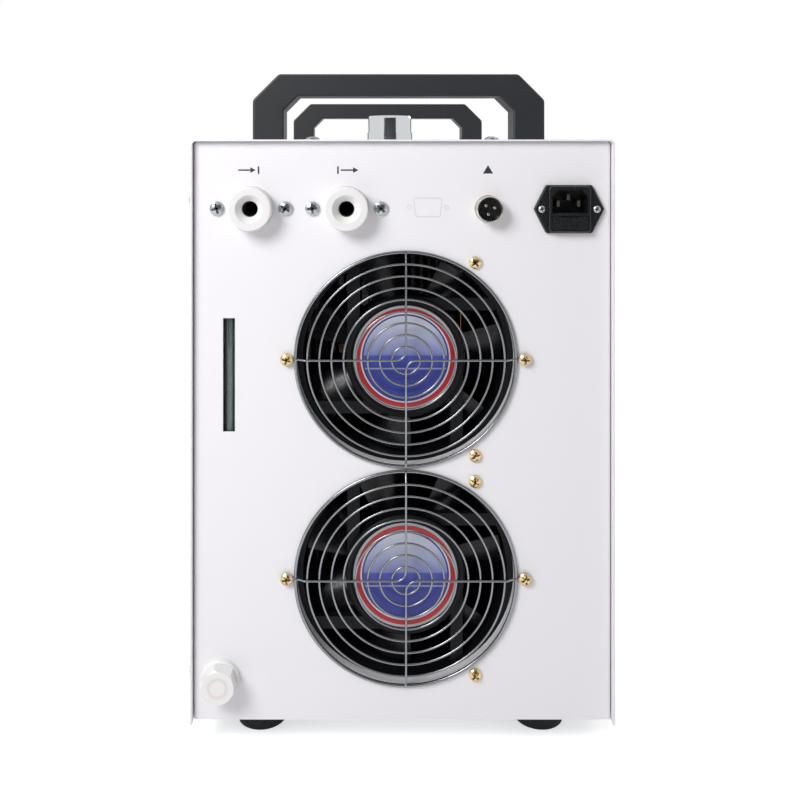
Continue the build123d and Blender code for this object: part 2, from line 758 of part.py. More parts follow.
def make_filler_cap():
    place = Plane(origin=(0, FILLER_Y, TOP_Z + FILLER_COLLAR_H))
    room = FILLER_SPIGOT_R + FIT_GAP
    ceiling = FILLER_CAP_H - FILLER_CAP_WALL
    lip = 1.2
    points = [(room, 0), (FILLER_CAP_R, 0), (FILLER_CAP_R, FILLER_CAP_H - 2 * lip),
              (FILLER_CAP_R - lip, FILLER_CAP_H), (0, FILLER_CAP_H), (0, ceiling), (room, ceiling)]
    return turned(place, points)


def make_cap_gasket():
    place = Plane(origin=(0, FILLER_Y, TOP_Z + FILLER_COLLAR_H))
    ceiling = FILLER_CAP_H - FILLER_CAP_WALL
    return ring(place, FILLER_SPIGOT_R, FILLER_BORE_R, GASKET_T, ceiling - GASKET_T)


def tank_ports():
    """The tank's hose ports, as (x, height, radius) of each spigot on its rear wall."""
    ports = [(RETURN_PORT_X, TANK_Z + TANK_RETURN_UP), (DRAIN_PORT_X, TANK_Z + TANK_PORT_UP),
             (PUMP_PORT_X, TANK_Z + TANK_PORT_UP)]
    level = [(LEVEL_PORT_X, TANK_Z + TANK_PORT_UP), (LEVEL_PORT_X, TANK_Z + TANK_LEVEL_UP)]
    return ([(x, z, HOSE_BORE_R - HOLE_GAP) for x, z in ports]
            + [(x, z, LEVEL_BORE_R - HOLE_GAP) for x, z in level])


def make_tank():
    place = Plane(origin=(0, FILLER_Y, TANK_Z))
    outer = plate(place, RectangleRounded(TANK_W, TANK_D, TANK_R), TANK_H)
    inner = RectangleRounded(TANK_W - 2 * TANK_WALL, TANK_D - 2 * TANK_WALL, TANK_R - TANK_WALL)
    tank = outer - plate(place, inner, TANK_H, TANK_WALL)
    for x, z, radius in tank_ports():
        port = on_rear(x, z, TANK_REAR_Y)
        tank += rod(port, radius, SPIGOT_L)
        tank -= rod(port, radius - SPIGOT_WALL, SPIGOT_L + TANK_WALL + 1, -TANK_WALL - 0.5)
    for x, _, z in coil_ends():
        tank -= rod(on_rear(x, z, TANK_REAR_Y), COIL_TUBE_R + HOLE_GAP, TANK_WALL + 2, -TANK_WALL - 1)
    return tank


def make_tank_lid():
    place = Plane(origin=(0, FILLER_Y, TANK_TOP))
    lid = plate(place, RectangleRounded(TANK_W + 2 * LID_LAP, TANK_D + 2 * LID_LAP, TANK_R), LID_T)
    lid += rod(place, FILLER_NECK_R + LID_COLLAR_T, LID_COLLAR_H, LID_T)
    return lid - rod(place, FILLER_NECK_R + HOLE_GAP, LID_T + LID_COLLAR_H + 2, -1)


def coil_ends():
    """The two ends of the evaporator tube, just outside the tank's rear wall."""
    y = TANK_REAR_Y - STUB_H
    low = TANK_Z + COIL_TOP_UP - (COIL_RUNS - 1) * COIL_PITCH
    return [(COIL_OUT_X, y, low), (CAPILLARY_X, y, TANK_Z + COIL_TOP_UP)]


def make_evaporator_coil():
    """One tube bent into level runs, one below the other."""
    first, last = coil_ends()
    y = TANK_REAR_Y + COIL_Y_STEP
    step = (last[2] - first[2]) / (COIL_RUNS - 1)
    points = [last, (last[0], y, last[2])]
    for run in range(COIL_RUNS - 1):
        x = (COIL_W if run % 2 else -COIL_W) / 2
        z = last[2] - run * step
        points += [(x, y, z), (x, y, z - step)]
    points += [(first[0], y, first[2]), first]
    return tube(points, 0.45 * step, COIL_TUBE_R)


def make_tank_shelf():
    """A bridge of folded sheet that carries the tank over the compressor and the pump."""
    depth = TANK_D + 2 * SHELF_MARGIN
    w, top, floor = SHELF_LEG_X, SHELF_Z + SHELF_T, FLOOR_Z
    outline = make_face(Polyline((-w, floor), (-w, top), (w, top), (w, floor), (w - SHELF_T, floor),
                                 (w - SHELF_T, SHELF_Z), (-w + SHELF_T, SHELF_Z), (-w + SHELF_T, floor),
                                 close=True))
    return plate(on_rear(0, 0, FILLER_Y + depth / 2), outline, depth)


def grommet_places():
    """Three bolts around the compressor, on top of the base pan."""
    found = []
    for k in range(3):
        angle = radians(COMP_FOOT_ANGLE + 120 * k)
        x = COMP_X + COMP_FOOT_R * cos(angle)
        y = COMP_Y + COMP_FOOT_R * sin(angle)
        found.append(Plane(origin=(x, y, FLOOR_Z)))
    return found


def make_compressor():
    """The welded shell with domed ends, its three-armed foot and the accumulator beside it."""
    foot_z = FLOOR_Z + GROMMET_H
    place = Plane(origin=(COMP_X, COMP_Y, foot_z))
    top = COMP_FOOT_T + COMP_H
    seam = top - COMP_DOME - COMP_SEAM_DOWN
    dome = ThreePointArc((COMP_R, top - COMP_DOME), (0.72 * COMP_R, top - 0.28 * COMP_DOME), (0, top))
    side = Polyline((0, top), (0, 0), (COMP_R, 0), (COMP_R, seam), (COMP_SEAM_R, seam),
                    (COMP_SEAM_R, seam + COMP_SEAM_H), (COMP_R, seam + COMP_SEAM_H),
                    (COMP_R, top - COMP_DOME))
    shell = place * revolve(Plane.XZ * make_face([side, dome]), Axis.Z)
    arms = Sketch() + [Rot(0, 0, COMP_FOOT_ANGLE + 120 * k) * Pos(COMP_FOOT_R / 2, 0)
                       * SlotCenterToCenter(COMP_FOOT_R, 2 * GROMMET_R) for k in range(3)]
    shell += plate(place, arms, COMP_FOOT_T)
    for bolt in grommet_places():
        shell -= rod(bolt, COMP_FOOT_HOLE_R, COMP_FOOT_T + 2, GROMMET_H - 1)
    shell += rod(place, LINE_R, STUB_H, top - 1)
    accumulator = Plane(origin=(COMP_X, COMP_Y - ACCUM_AWAY, FLOOR_Z + ACCUM_UP))
    can = fillet(rod(accumulator, ACCUM_R, ACCUM_H).edges(), 0.45 * ACCUM_R)
    can += rod(accumulator, LINE_R, STUB_H, ACCUM_H - 1)
    bridge = Plane(origin=(COMP_X, COMP_Y - ACCUM_AWAY / 2, FLOOR_Z + ACCUM_UP + ACCUM_H / 2))
    strap = block(bridge, STRAP_W, ACCUM_AWAY - ACCUM_R - COMP_R + 2 * STRAP_LAP, STRAP_T)
    away, level = COMP_Y - ACCUM_AWAY, foot_z + ELBOW_UP
    elbow = tube([(COMP_X, away, FLOOR_Z + ACCUM_UP + ELBOW_LAP / 2), (COMP_X, away, level),
                  (COMP_X, COMP_Y - COMP_R + ELBOW_LAP, level)], LINE_BEND_R, LINE_R)
    return shell + can + strap + elbow


def make_grommets():
    bore = GROMMET_BOLT_R + HOLE_GAP
    return [ring(place, GROMMET_R, bore, GROMMET_H) for place in grommet_places()]


def make_compressor_bolts():
    """Bolts that come up through the pan, each with its nut on the compressor's foot."""
    solids = []
    for place in grommet_places():
        nut_z = GROMMET_H + COMP_FOOT_T
        bolt = rod(place, GROMMET_BOLT_R, PAN_SHEET + nut_z + BOLT_END, -PAN_SHEET)
        bolt += rod(place, BOLT_HEAD_R, BOLT_HEAD_T, -PAN_SHEET - BOLT_HEAD_T)
        bolt += plate(place, hexagon(BOLT_NUT_AF), BOLT_NUT_T, nut_z)
        solids.append(bolt)
    return solids


def make_condenser_core():
    """A block of fins between two end plates that stand on the base pan."""
    middle = on_rear(FAN_X, 0, CORE_Y + CORE_T)
    tall = CORE_TOP - CORE_BOTTOM
    outline = Pos(0, CORE_BOTTOM + tall / 2) * Rectangle(CORE_W, tall)
    pitch = (CORE_W - FIN_T) / FIN_COUNT
    for k in range(FIN_COUNT):
        x = -CORE_W / 2 + FIN_T + (pitch - FIN_T) / 2 + k * pitch
        outline -= Pos(x, CORE_BOTTOM + tall / 2) * Rectangle(pitch - FIN_T, tall - 2 * CORE_RAIL)
    core = plate(middle, outline, CORE_T)
    top = CORE_TOP + SHROUD_ROOM + SHROUD_T
    for side in (-1, 1):
        x = side * (CORE_W + END_PLATE_T) / 2
        leg = Pos(x, (FLOOR_Z + top) / 2) * Rectangle(END_PLATE_T, top - FLOOR_Z)
        core += plate(middle, leg, CORE_T)
    return core


def condenser_row(k):
    """Height of one row of tube in the core, counted from the bottom."""
    return (CORE_BOTTOM + CORE_TOP) / 2 + (k - (BEND_ROWS - 1) / 2) * BEND_PITCH


def make_condenser_bends():
    """Hairpin bends that join the rows of tube at both ends of the core."""
    solids = []
    y = CORE_MID_Y
    for row in range(BEND_ROWS - 1):
        side = 1 if row % 2 else -1
        x = FAN_X + side * (CORE_W / 2 + END_PLATE_T)
        z = condenser_row(row)
        out = x + side * (BEND_STUB + BEND_PITCH / 2)
        points = [(x, y, z), (out, y, z), (out, y, z + BEND_PITCH), (x, y, z + BEND_PITCH)]
        solids.append(tube(points, 0.4999 * BEND_PITCH, BEND_TUBE_R))
    return solids


def make_fan_shroud():
    """A sheet duct from the rear panel to the condenser, around both fans."""
    w = 2 * FAN_R + 2 * SHROUD_ROOM
    tall = CORE_TOP - CORE_BOTTOM + 2 * SHROUD_ROOM
    wall = Rectangle(w + 2 * SHROUD_T, tall + 2 * SHROUD_T) - Rectangle(w, tall)
    place = on_rear(FAN_X, (CORE_TOP + CORE_BOTTOM) / 2, CORE_Y)
    return plate(place, wall, FAN_T + PLENUM)


def make_filter_drier():
    place = on_front(DRIER_X, condenser_row(0), DRIER_Y - DRIER_L)
    points = [(0, 0), (LINE_R + 1, 0), (DRIER_R, DRIER_TAPER), (DRIER_R, DRIER_L - DRIER_TAPER),
              (LINE_R + 1, DRIER_L), (0, DRIER_L)]
    return turned(place, points)


def make_refrigerant_lines():
    """Discharge, liquid, capillary and suction lines, one tube each."""
    comp_top = FLOOR_Z + GROMMET_H + COMP_FOOT_T + COMP_H + STUB_H - 1
    over = comp_top + LINE_RISE
    plate_x = FAN_X + CORE_W / 2 + END_PLATE_T
    high, low = condenser_row(BEND_ROWS - 1), condenser_row(0)
    discharge = [(COMP_X, COMP_Y, comp_top), (COMP_X, COMP_Y, over), (LINE_TURN_X, COMP_Y, over),
                 (LINE_TURN_X, LINE_CROSS_Y, over), (LINE_SIDE_X, LINE_CROSS_Y, over),
                 (LINE_SIDE_X, LINE_CROSS_Y, high), (LINE_SIDE_X, CORE_MID_Y, high),
                 (plate_x, CORE_MID_Y, high)]
    liquid = [(plate_x, CORE_MID_Y, low), (DRIER_X, CORE_MID_Y, low), (DRIER_X, DRIER_Y - DRIER_L, low)]
    out = coil_ends()
    feed = out[1]
    mid = PAN_Z + CAPILLARY_H
    capillary = [(DRIER_X, DRIER_Y, low), (DRIER_X, CAPILLARY_Y, low), (DRIER_X, CAPILLARY_Y, mid),
                 (CAPILLARY_X, CAPILLARY_Y, mid), (CAPILLARY_X, CAPILLARY_Y, feed[2]), feed]
    back = out[0]
    accum_top = FLOOR_Z + ACCUM_UP + ACCUM_H + STUB_H - 1
    away = back[1] - SUCTION_BACK
    bridge = accum_top + SUCTION_RISE
    suction = [back, (back[0], away, back[2]), (back[0], away, bridge),
               (back[0], COMP_Y - ACCUM_AWAY, bridge), (back[0], COMP_Y - ACCUM_AWAY, accum_top)]
    lines = [tube(points, LINE_BEND_R, LINE_R) for points in (discharge, liquid, suction)]
    return lines + [tube(capillary, LINE_BEND_R, 0.6 * LINE_R)]


def pump_axis_z():
    return FLOOR_Z + PUMP_AXIS_UP


def make_pump_motor():
    """A finned motor can on its cast foot."""
    place = on_front(PUMP_X, pump_axis_z(), PUMP_HEAD_Y + PUMP_HEAD_L)
    motor = rod(place, PUMP_MOTOR_R, PUMP_MOTOR_L)
    fin = Pos(0, PUMP_MOTOR_R + PUMP_FIN_H / 2 - 0.5) * Rectangle(PUMP_FIN_T, PUMP_FIN_H + 1)
    fins = Sketch() + [Rot(0, 0, 360 / PUMP_FIN_COUNT * k) * fin for k in range(PUMP_FIN_COUNT)]
    motor += plate(place, fins, PUMP_MOTOR_L - 2 * PUMP_FIN_IN, PUMP_FIN_IN)
    foot = Pos(0, (PUMP_FOOT_T - PUMP_AXIS_UP) - PUMP_FOOT_T / 2) * Rectangle(PUMP_FOOT_W, PUMP_FOOT_T)
    web_h = PUMP_AXIS_UP - PUMP_MOTOR_R / 2
    web = Pos(0, -PUMP_AXIS_UP + web_h / 2) * Rectangle(PUMP_FOOT_W / 2, web_h)
    return motor + plate(place, foot + web, PUMP_MOTOR_L - 2 * PUMP_FOOT_IN, PUMP_FOOT_IN)


def make_pump_head():
    """The volute with its axial suction port and its radial discharge port."""
    place = on_rear(PUMP_X, pump_axis_z(), PUMP_HEAD_Y + PUMP_HEAD_L)
    spigot = HOSE_BORE_R - HOLE_GAP
    head = fillet(rod(place, PUMP_HEAD_R, PUMP_HEAD_L).edges().sort_by(Axis.Y)[0], PUMP_EDGE_R)
    head += rod(place, spigot, SPIGOT_L, PUMP_HEAD_L - 1)
    riser = Plane(origin=(PUMP_X, PUMP_HEAD_Y + PUMP_HEAD_L / 2, pump_axis_z()))
    head += rod(riser, spigot, PUMP_HEAD_R + SPIGOT_L)
    bore, deep = spigot - SPIGOT_WALL, PUMP_PORT_DEEP
    head -= rod(place, bore, deep + SPIGOT_L, PUMP_HEAD_L - deep)
    return head - rod(riser, bore, deep + SPIGOT_L + 1, PUMP_HEAD_R - deep)


def make_return_hose():
    start = (FITTING_X[0], fitting_spigot_y(), PAN_Z + FITTING_H)
    end = (RETURN_PORT_X, TANK_REAR_Y, TANK_Z + TANK_RETURN_UP)
    far, near = RETURN_RUN
    points = [start, (start[0], end[1] - far, start[2]), (end[0], end[1] - near, end[2]), end]
    return hose(points, RETURN_BEND_R)


def make_supply_hose():
    top = pump_axis_z() + PUMP_HEAD_R
    x, y = PUMP_X, PUMP_HEAD_Y + PUMP_HEAD_L / 2
    back = LINE_CROSS_Y - SUPPLY_BACK
    level = PAN_Z + FITTING_H
    points = [(x, y, top), (x, y, top + SUPPLY_RISE), (x, back, top + SUPPLY_RISE), (x, back, level),
              (FITTING_X[1], back, level), (FITTING_X[1], fitting_spigot_y(), level)]
    return hose(points, HOSE_BEND_R)


def make_pump_hose():
    z = TANK_Z + TANK_PORT_UP
    axis = pump_axis_z()
    back = TANK_REAR_Y - PUMP_HOSE_BACK
    points = [(PUMP_PORT_X, TANK_REAR_Y, z), (PUMP_PORT_X, back, z), (PUMP_PORT_X, back, axis),
              (PUMP_X, back, axis), (PUMP_X, PUMP_HEAD_Y, axis)]
    return hose(points, HOSE_BEND_R)


def make_drain_hose():
    z = TANK_Z + TANK_PORT_UP
    low = PAN_Z + DRAIN_H
    back = TANK_REAR_Y - DRAIN_HOSE_BACK
    run, fall = DRAIN_HOSE_SLOPE
    points = [(DRAIN_PORT_X, TANK_REAR_Y, z), (DRAIN_PORT_X, back, z), (DRAIN_PORT_X, back, low + fall),
              (DRAIN_X, back - run, low), (DRAIN_X, drain_spigot_y(), low)]
    return hose(points, HOSE_BEND_R)


def make_water_hoses():
    wide = [make_return_hose(), make_supply_hose(), make_pump_hose(), make_drain_hose()]
    return wide + make_level_hoses()


def sight_tube_y():
    return PANEL_IN_Y + SIGHT_TUBE_SET + SIGHT_TUBE_R


def sight_ends():
    """Heights of the two ends of the sight tube, just past its slot."""
    half = SIGHT_SLOT_H / 2 + SIGHT_PAST_SLOT
    return PAN_Z + SIGHT_MID_H - half, PAN_Z + SIGHT_MID_H + half


def make_level_hoses():
    """Two thin hoses from the sight tube's elbows to the tank."""
    solids = []
    for z, up in zip(sight_elbow_heights(), (TANK_PORT_UP, TANK_LEVEL_UP)):
        start = (SIGHT_X, elbow_face_y(), z)
        end = (LEVEL_PORT_X, TANK_REAR_Y, TANK_Z + up)
        far, near = LEVEL_RUN
        points = [start, (SIGHT_X, end[1] - far, z), (LEVEL_PORT_X, end[1] - near, end[2]), end]
        solids.append(hose(points, LEVEL_BEND_R, LEVEL_HOSE_R, LEVEL_BORE_R))
    return solids


def sight_elbow_heights():
    low, high = sight_ends()
    past = SIGHT_ELBOW / 2 - SIGHT_TUBE_LAP
    return low - past, high + past


def elbow_face_y():
    return PANEL_IN_Y + SIGHT_ELBOW


def make_sight_elbows():
    """Two blocks on the panel that hold the tube's ends and turn towards the tank."""
    low, high = sight_ends()
    solids = []
    for z in sight_elbow_heights():
        place = on_rear(SIGHT_X, z, PANEL_IN_Y)
        body = block(place, SIGHT_ELBOW, SIGHT_ELBOW, SIGHT_ELBOW, -SIGHT_ELBOW)
        body += rod(place, LEVEL_BORE_R - HOLE_GAP, SPIGOT_L, -SIGHT_ELBOW - SPIGOT_L)
        body -= rod(place, LEVEL_BORE_R - SPIGOT_WALL, SPIGOT_L + SIGHT_ELBOW / 2, -SIGHT_ELBOW - SPIGOT_L)
        tube_hole = Plane(origin=(SIGHT_X, sight_tube_y(), low))
        body -= rod(tube_hole, SIGHT_TUBE_R + HOLE_GAP, high - low)
        solids.append(body)
    return solids


def make_sight_tube():
    low, high = sight_ends()
    place = Plane(origin=(SIGHT_X, sight_tube_y(), low))
    return ring(place, SIGHT_TUBE_R, SIGHT_TUBE_BORE_R, high - low)


def fitting_spigot_y():
    return PANEL_IN_Y + FITTING_BASE_T


def make_fitting(x):
    """A moulded port: collar outside, base plate and hose spigot inside."""
    place = on_rear(x, PAN_Z + FITTING_H, PANEL_Y)
    base = SlotCenterToCenter(2 * FITTING_SCREW_X, FITTING_R) + Circle(FITTING_R + 3)
    fitting = plate(place, base, FITTING_BASE_T, -SHEET - FITTING_BASE_T)
    collar = rod(place, FITTING_R, FITTING_REACH + SHEET, -SHEET)
    fitting += fillet(collar.edges().sort_by(Axis.Y)[0], FITTING_EDGE_R)
    back = -SHEET - FITTING_BASE_T
    fitting += rod(place, HOSE_BORE_R - HOLE_GAP, SPIGOT_L + 1, back - SPIGOT_L)
    cone = Cone(FITTING_BORE_R, FITTING_MOUTH_R, FITTING_MOUTH_DEPTH, align=BASE)
    fitting -= place * Pos(0, 0, FITTING_REACH - FITTING_MOUTH_DEPTH) * cone
    fitting -= rod(place, FITTING_BORE_R, FITTING_REACH + SHEET + 1, -SHEET)
    spigot_bore = HOSE_BORE_R - HOLE_GAP - SPIGOT_WALL
    fitting -= rod(place, spigot_bore, SPIGOT_L + FITTING_BASE_T + 2, back - SPIGOT_L - 1)
    for screw_place in fitting_screw_places():
        fitting -= shank_hole(screw_place, FITTING_SCREW, SHEET + FITTING_SCREW[3])
    return fitting


def make_fitting_screws():
    solid = screw(FITTING_SCREW)
    return [place * solid for place in fitting_screw_places()]


def make_plug_shell():
    """The nickel-plated shell of the round connector."""
    place = on_rear(PLUG_X, PAN_Z + PLUG_H, PANEL_Y)
    tail = -SHEET - PLUG_DEPTH
    points = [(PLUG_BORE_R, tail), (PLUG_NECK_R, tail), (PLUG_NECK_R, 0), (PLUG_R, 0), (PLUG_R, 2),
              (PLUG_R - 0.5, 2.6), (PLUG_R - 0.5, PLUG_REACH - 0.6), (PLUG_R - 1.1, PLUG_REACH),
              (PLUG_MOUTH_R, PLUG_REACH), (PLUG_MOUTH_R, PLUG_MOUTH_FLOOR), (PLUG_BORE_R, PLUG_MOUTH_FLOOR)]
    key_bottom = PLUG_REACH - PLUG_INSERT_SET
    key = place * Rot(0, 0, PLUG_KEY_ANGLE) * Pos(PLUG_MOUTH_R, 0, key_bottom)
    return turned(place, points) + block(key, 2 * PLUG_KEY_T, PLUG_KEY_W, PLUG_REACH - key_bottom - 1)


def plug_pin_places():
    place = on_rear(PLUG_X, PAN_Z + PLUG_H, PANEL_Y)
    return [place * Rot(0, 0, a) * Pos(PLUG_PIN_CIRCLE, 0, 0) for a in PLUG_PIN_ANGLES]


def make_plug_insert():
    place = on_rear(PLUG_X, PAN_Z + PLUG_H, PANEL_Y)
    top = PLUG_REACH - PLUG_INSERT_SET
    insert = rod(place, PLUG_BORE_R, PLUG_DEPTH, top - PLUG_DEPTH)
    insert += rod(place, PLUG_MOUTH_R, top - PLUG_MOUTH_FLOOR, PLUG_MOUTH_FLOOR)
    for pin in plug_pin_places():
        insert -= rod(pin, PLUG_PIN_R, PLUG_DEPTH + 2, top - PLUG_DEPTH - 1)
    return insert


def make_plug_pins():
    top = PLUG_REACH - PLUG_INSERT_SET
    back = PLUG_DEPTH + PLUG_PIN_TAIL
    pins = [rod(pin, PLUG_PIN_R, back + PLUG_PIN_L, top - back) for pin in plug_pin_places()]
    return [fillet(pin.edges().sort_by(Axis.Y)[0], 0.45 * PLUG_PIN_R) for pin in pins]


def make_lock_nuts():
    """The nuts behind the panel that hold the connector and the drain valve."""
    plug = on_rear(PLUG_X, PAN_Z + PLUG_H, PANEL_IN_Y)
    drain = on_rear(DRAIN_X, PAN_Z + DRAIN_H, PANEL_IN_Y)
    plug_nut = plate(plug, hexagon(2 * (PLUG_NECK_R + PLUG_NUT_WALL)), PLUG_NUT_T, -PLUG_NUT_T)
    plug_nut -= rod(plug, PLUG_NECK_R + HOLE_GAP, PLUG_NUT_T + 2, -PLUG_NUT_T - 1)
    drain_nut = plate(drain, hexagon(DRAIN_NUT_AF), DRAIN_NUT_T, -DRAIN_NUT_T)
    drain_nut -= rod(drain, DRAIN_NECK_R + HOLE_GAP, DRAIN_NUT_T + 2, -DRAIN_NUT_T - 1)
    return [plug_nut, drain_nut]


def socket_place():
    return on_rear(SOCKET_X, PAN_Z + SOCKET_H, PANEL_Y)


def drawer_profile(gap):
    return Pos(0, -DRAWER_DOWN) * Rectangle(DRAWER_W + 2 * gap, DRAWER_H + 2 * gap)


def blade_outlines():
    """The three contact blades, as seen from the rear."""
    side = Rectangle(BLADE_W, BLADE_TALL)
    return [Pos(-BLADE_SIDE_X, BLADE_SIDE_UP) * side, Pos(BLADE_SIDE_X, BLADE_SIDE_UP) * side,
            Pos(0, BLADE_TOP_UP) * side]


def make_power_inlet():
    """The moulded mains inlet: pointed flange, raised bezel, plug recess and drawer bay."""
    place = socket_place()
    tip, flat, half = SOCKET_TIP_W / 2, SOCKET_FLAT_W / 2, SOCKET_TALL / 2
    corners = [(-tip, 0), (-flat, half), (flat, half), (tip, 0), (flat, -half), (-flat, -half)]
    outline = make_face(Polyline(*corners, close=True))
    outline = fillet(outline.vertices(), 2)
    inlet = plate(place, outline, SOCKET_FLANGE_T)
    inlet = chamfer(inlet.faces().sort_by(Axis.Y)[0].edges(), SOCKET_EDGE)
    bezel = RectangleRounded(SOCKET_BEZEL_W, SOCKET_BEZEL_H, 2.5)
    face = SOCKET_FLANGE_T + SOCKET_BEZEL_T
    raised = plate(place, bezel, face)
    inlet += fillet(raised.faces().sort_by(Axis.Y)[0].edges(), SOCKET_EDGE)
    inlet += block(place, SOCKET_BODY_W, SOCKET_BODY_H, SOCKET_BODY_L + 1, -SOCKET_BODY_L)
    recess = Rectangle(RECESS_W, RECESS_H)
    recess = chamfer(recess.vertices().sort_by(Axis.Y)[-2:], RECESS_CHAMFER)
    inlet -= plate(place, Pos(0, RECESS_UP) * recess, RECESS_DEPTH + 1, face - RECESS_DEPTH)
    inlet -= plate(place, drawer_profile(DRAWER_GAP), DRAWER_L + 1, face - DRAWER_L)
    for outline in blade_outlines():
        inlet -= plate(place, outline, SOCKET_BODY_L + 2, -SOCKET_BODY_L - 1)
    for screw_place in socket_screw_places():
        inlet -= shank_hole(screw_place, SOCKET_SCREW, SOCKET_FLANGE_T)
    return inlet


def make_power_blades():
    face = SOCKET_FLANGE_T + SOCKET_BEZEL_T
    tail = SOCKET_BODY_L + BLADE_TAIL
    length = face - BLADE_SET + tail
    return [plate(socket_place(), outline, length, -tail) for outline in blade_outlines()]


def make_fuse_drawer():
    """The drawer with its finger lip and the two cradles for the fuses."""
    place = socket_place()
    face = SOCKET_FLANGE_T + SOCKET_BEZEL_T
    drawer = plate(place, drawer_profile(0.0), DRAWER_L, face - DRAWER_L)
    lip = Pos(0, DRAWER_H / 2 - DRAWER_DOWN) * Rectangle(DRAWER_W / 2, DRAWER_LIP)
    drawer -= plate(place, lip, DRAWER_LIP + 1, face - DRAWER_LIP)
    for side in (-1, 1):
        pocket = place * Pos(side * FUSE_X, -DRAWER_DOWN, face - FUSE_SET - FUSE_L)
        drawer -= rod(pocket, FUSE_R, FUSE_L)
        drawer -= pocket * Box(2 * FUSE_R, DRAWER_H, FUSE_L, align=(Align.CENTER, Align.MAX, Align.MIN))
    return drawer


def make_fuses():
    back = SOCKET_FLANGE_T + SOCKET_BEZEL_T - FUSE_SET - FUSE_L
    seats = [Pos(side * FUSE_X, -DRAWER_DOWN, back) for side in (-1, 1)]
    return [rod(socket_place() * seat, FUSE_R, FUSE_L) for seat in seats]


def make_socket_screws():
    solid = screw(SOCKET_SCREW)
    return [place * solid for place in socket_screw_places()]


def drain_spigot_y():
    return PANEL_IN_Y + DRAIN_NUT_T + DRAIN_SHOULDER


def make_drain_valve():
    """The drain stub: flange outside, threaded neck through the panel, hose spigot inside."""
    place = on_rear(DRAIN_X, PAN_Z + DRAIN_H, PANEL_Y)
    shoulder = PANEL_Y - drain_spigot_y()
    spigot = HOSE_BORE_R - HOLE_GAP
    tip = DRAIN_FLANGE_T + DRAIN_SPIGOT
    points = [(DRAIN_BORE_R, shoulder - SPIGOT_L), (spigot, shoulder - SPIGOT_L), (spigot, shoulder),
              (DRAIN_NECK_R, shoulder), (DRAIN_NECK_R, 0), (DRAIN_FLANGE_R, 0),
              (DRAIN_FLANGE_R, DRAIN_FLANGE_T - 1), (DRAIN_FLANGE_R - 1, DRAIN_FLANGE_T),
              (DRAIN_NECK_R - 1, DRAIN_FLANGE_T), (DRAIN_NECK_R - 1, tip), (DRAIN_BORE_R, tip)]
    return turned(place, points)


def make_drain_cap():
    place = on_rear(DRAIN_X, PAN_Z + DRAIN_H, PANEL_Y - DRAIN_FLANGE_T)
    cap = place * Rot(0, 0, DRAIN_CAP_TURN) * extrude(hexagon(DRAIN_CAP_AF), DRAIN_CAP_L)
    corner = DRAIN_CAP_AF / sqrt(3)
    taper = turned(place, [(0, 0), (corner, 0), (corner, DRAIN_CAP_L - DRAIN_CAP_CHAMFER),
                           (corner - DRAIN_CAP_CHAMFER, DRAIN_CAP_L), (0, DRAIN_CAP_L)])
    cap = cap & taper
    return cap - rod(place, DRAIN_NECK_R - 1 + FIT_GAP, DRAIN_CAP_L - DRAIN_CAP_WALL + 1, -1)


def fan_outline(radius):
    """A disc cut flat above and below, so that two fans can stack."""
    return Circle(radius) & Rectangle(2 * radius, FAN_H)


def make_fan_frame(z):
    """The cast fan frame: two flanges, duct, bell mouth, struts and the fixed core of the motor."""
    place = on_rear(FAN_X, z, PANEL_IN_Y)
    frame = plate(place, fan_outline(FAN_R), FAN_FLANGE_T, -FAN_FLANGE_T)
    frame += plate(place, fan_outline(FAN_R), FAN_FLANGE_T, -FAN_T)
    frame += plate(place, fan_outline(FAN_DUCT_R), FAN_T, -FAN_T)
    for angle in FAN_HOLE_ANGLES:
        hole = place * Rot(0, 0, angle) * Pos(FAN_HOLE_R, 0, 0)
        frame -= rod(hole, FAN_SCREW[2] + HOLE_GAP, FAN_T + 2, -FAN_T - 1)
    mouth_w = FAN_OPENING_W / 2 + SHEET + FIT_GAP
    mouth_h = FAN_OPENING_H / 2 + SHEET + FIT_GAP
    deep = FAN_RIM - SHEET + FIT_GAP
    frame -= plate(place, Ellipse(mouth_w, mouth_h), deep + 1, -deep)
    frame -= rod(place, FAN_THROAT_R, FAN_T + 2, -FAN_T - 1)
    face = -HUB_SET - HUB_DISH
    core_back = ROTOR_SET + ROTOR_WALL + ROTOR_GAP - FAN_T
    bearing = SHAFT_R + RUNNING_GAP
    hub = turned(place, [(bearing, core_back), (HUB_CORE_R, core_back), (HUB_CORE_R, -HUB_BACK),
                         (HUB_R, -HUB_BACK), (HUB_R, -HUB_SET - HUB_DISH), (HUB_R - HUB_DISH, -HUB_SET),
                         (HUB_R - HUB_LIP, -HUB_SET), (HUB_R - HUB_LIP - 1, face), (0, face),
                         (0, face - HUB_WALL), (bearing, face - HUB_WALL)])
    x = -(HUB_R - STRUT_W / 2) + 1
    reach = sqrt(FAN_THROAT_R ** 2 - x ** 2) + 2
    strut = Pos(x, reach / 2) * Rectangle(STRUT_W, reach)
    arms = Sketch() + [Rot(0, 0, 90 * k) * strut for k in range(4)]
    arms -= Circle(HUB_R - 4)
    frame += plate(place, arms, HUB_BACK - STRUT_FRONT, -HUB_BACK)
    return frame + hub


def blade_section(size):
    """One section of an impeller blade: a thin cambered strip at its own pitch angle."""
    radius, chord, pitch = size
    half, t, c = chord / 2, BLADE_T, BLADE_CAMBER
    lower = ThreePointArc((-half, 0), (0, c), (half, 0))
    upper = ThreePointArc((half, t / 3), (0, c + t), (-half, t / 3))
    ends = [Line((half, 0), (half, t / 3)), Line((-half, t / 3), (-half, 0))]
    strip = make_face([lower, ends[0], upper, ends[1]])
    return Plane(origin=(radius, 0, 0), x_dir=(0, 1, 0), z_dir=(1, 0, 0)) * Rot(0, 0, pitch) * strip


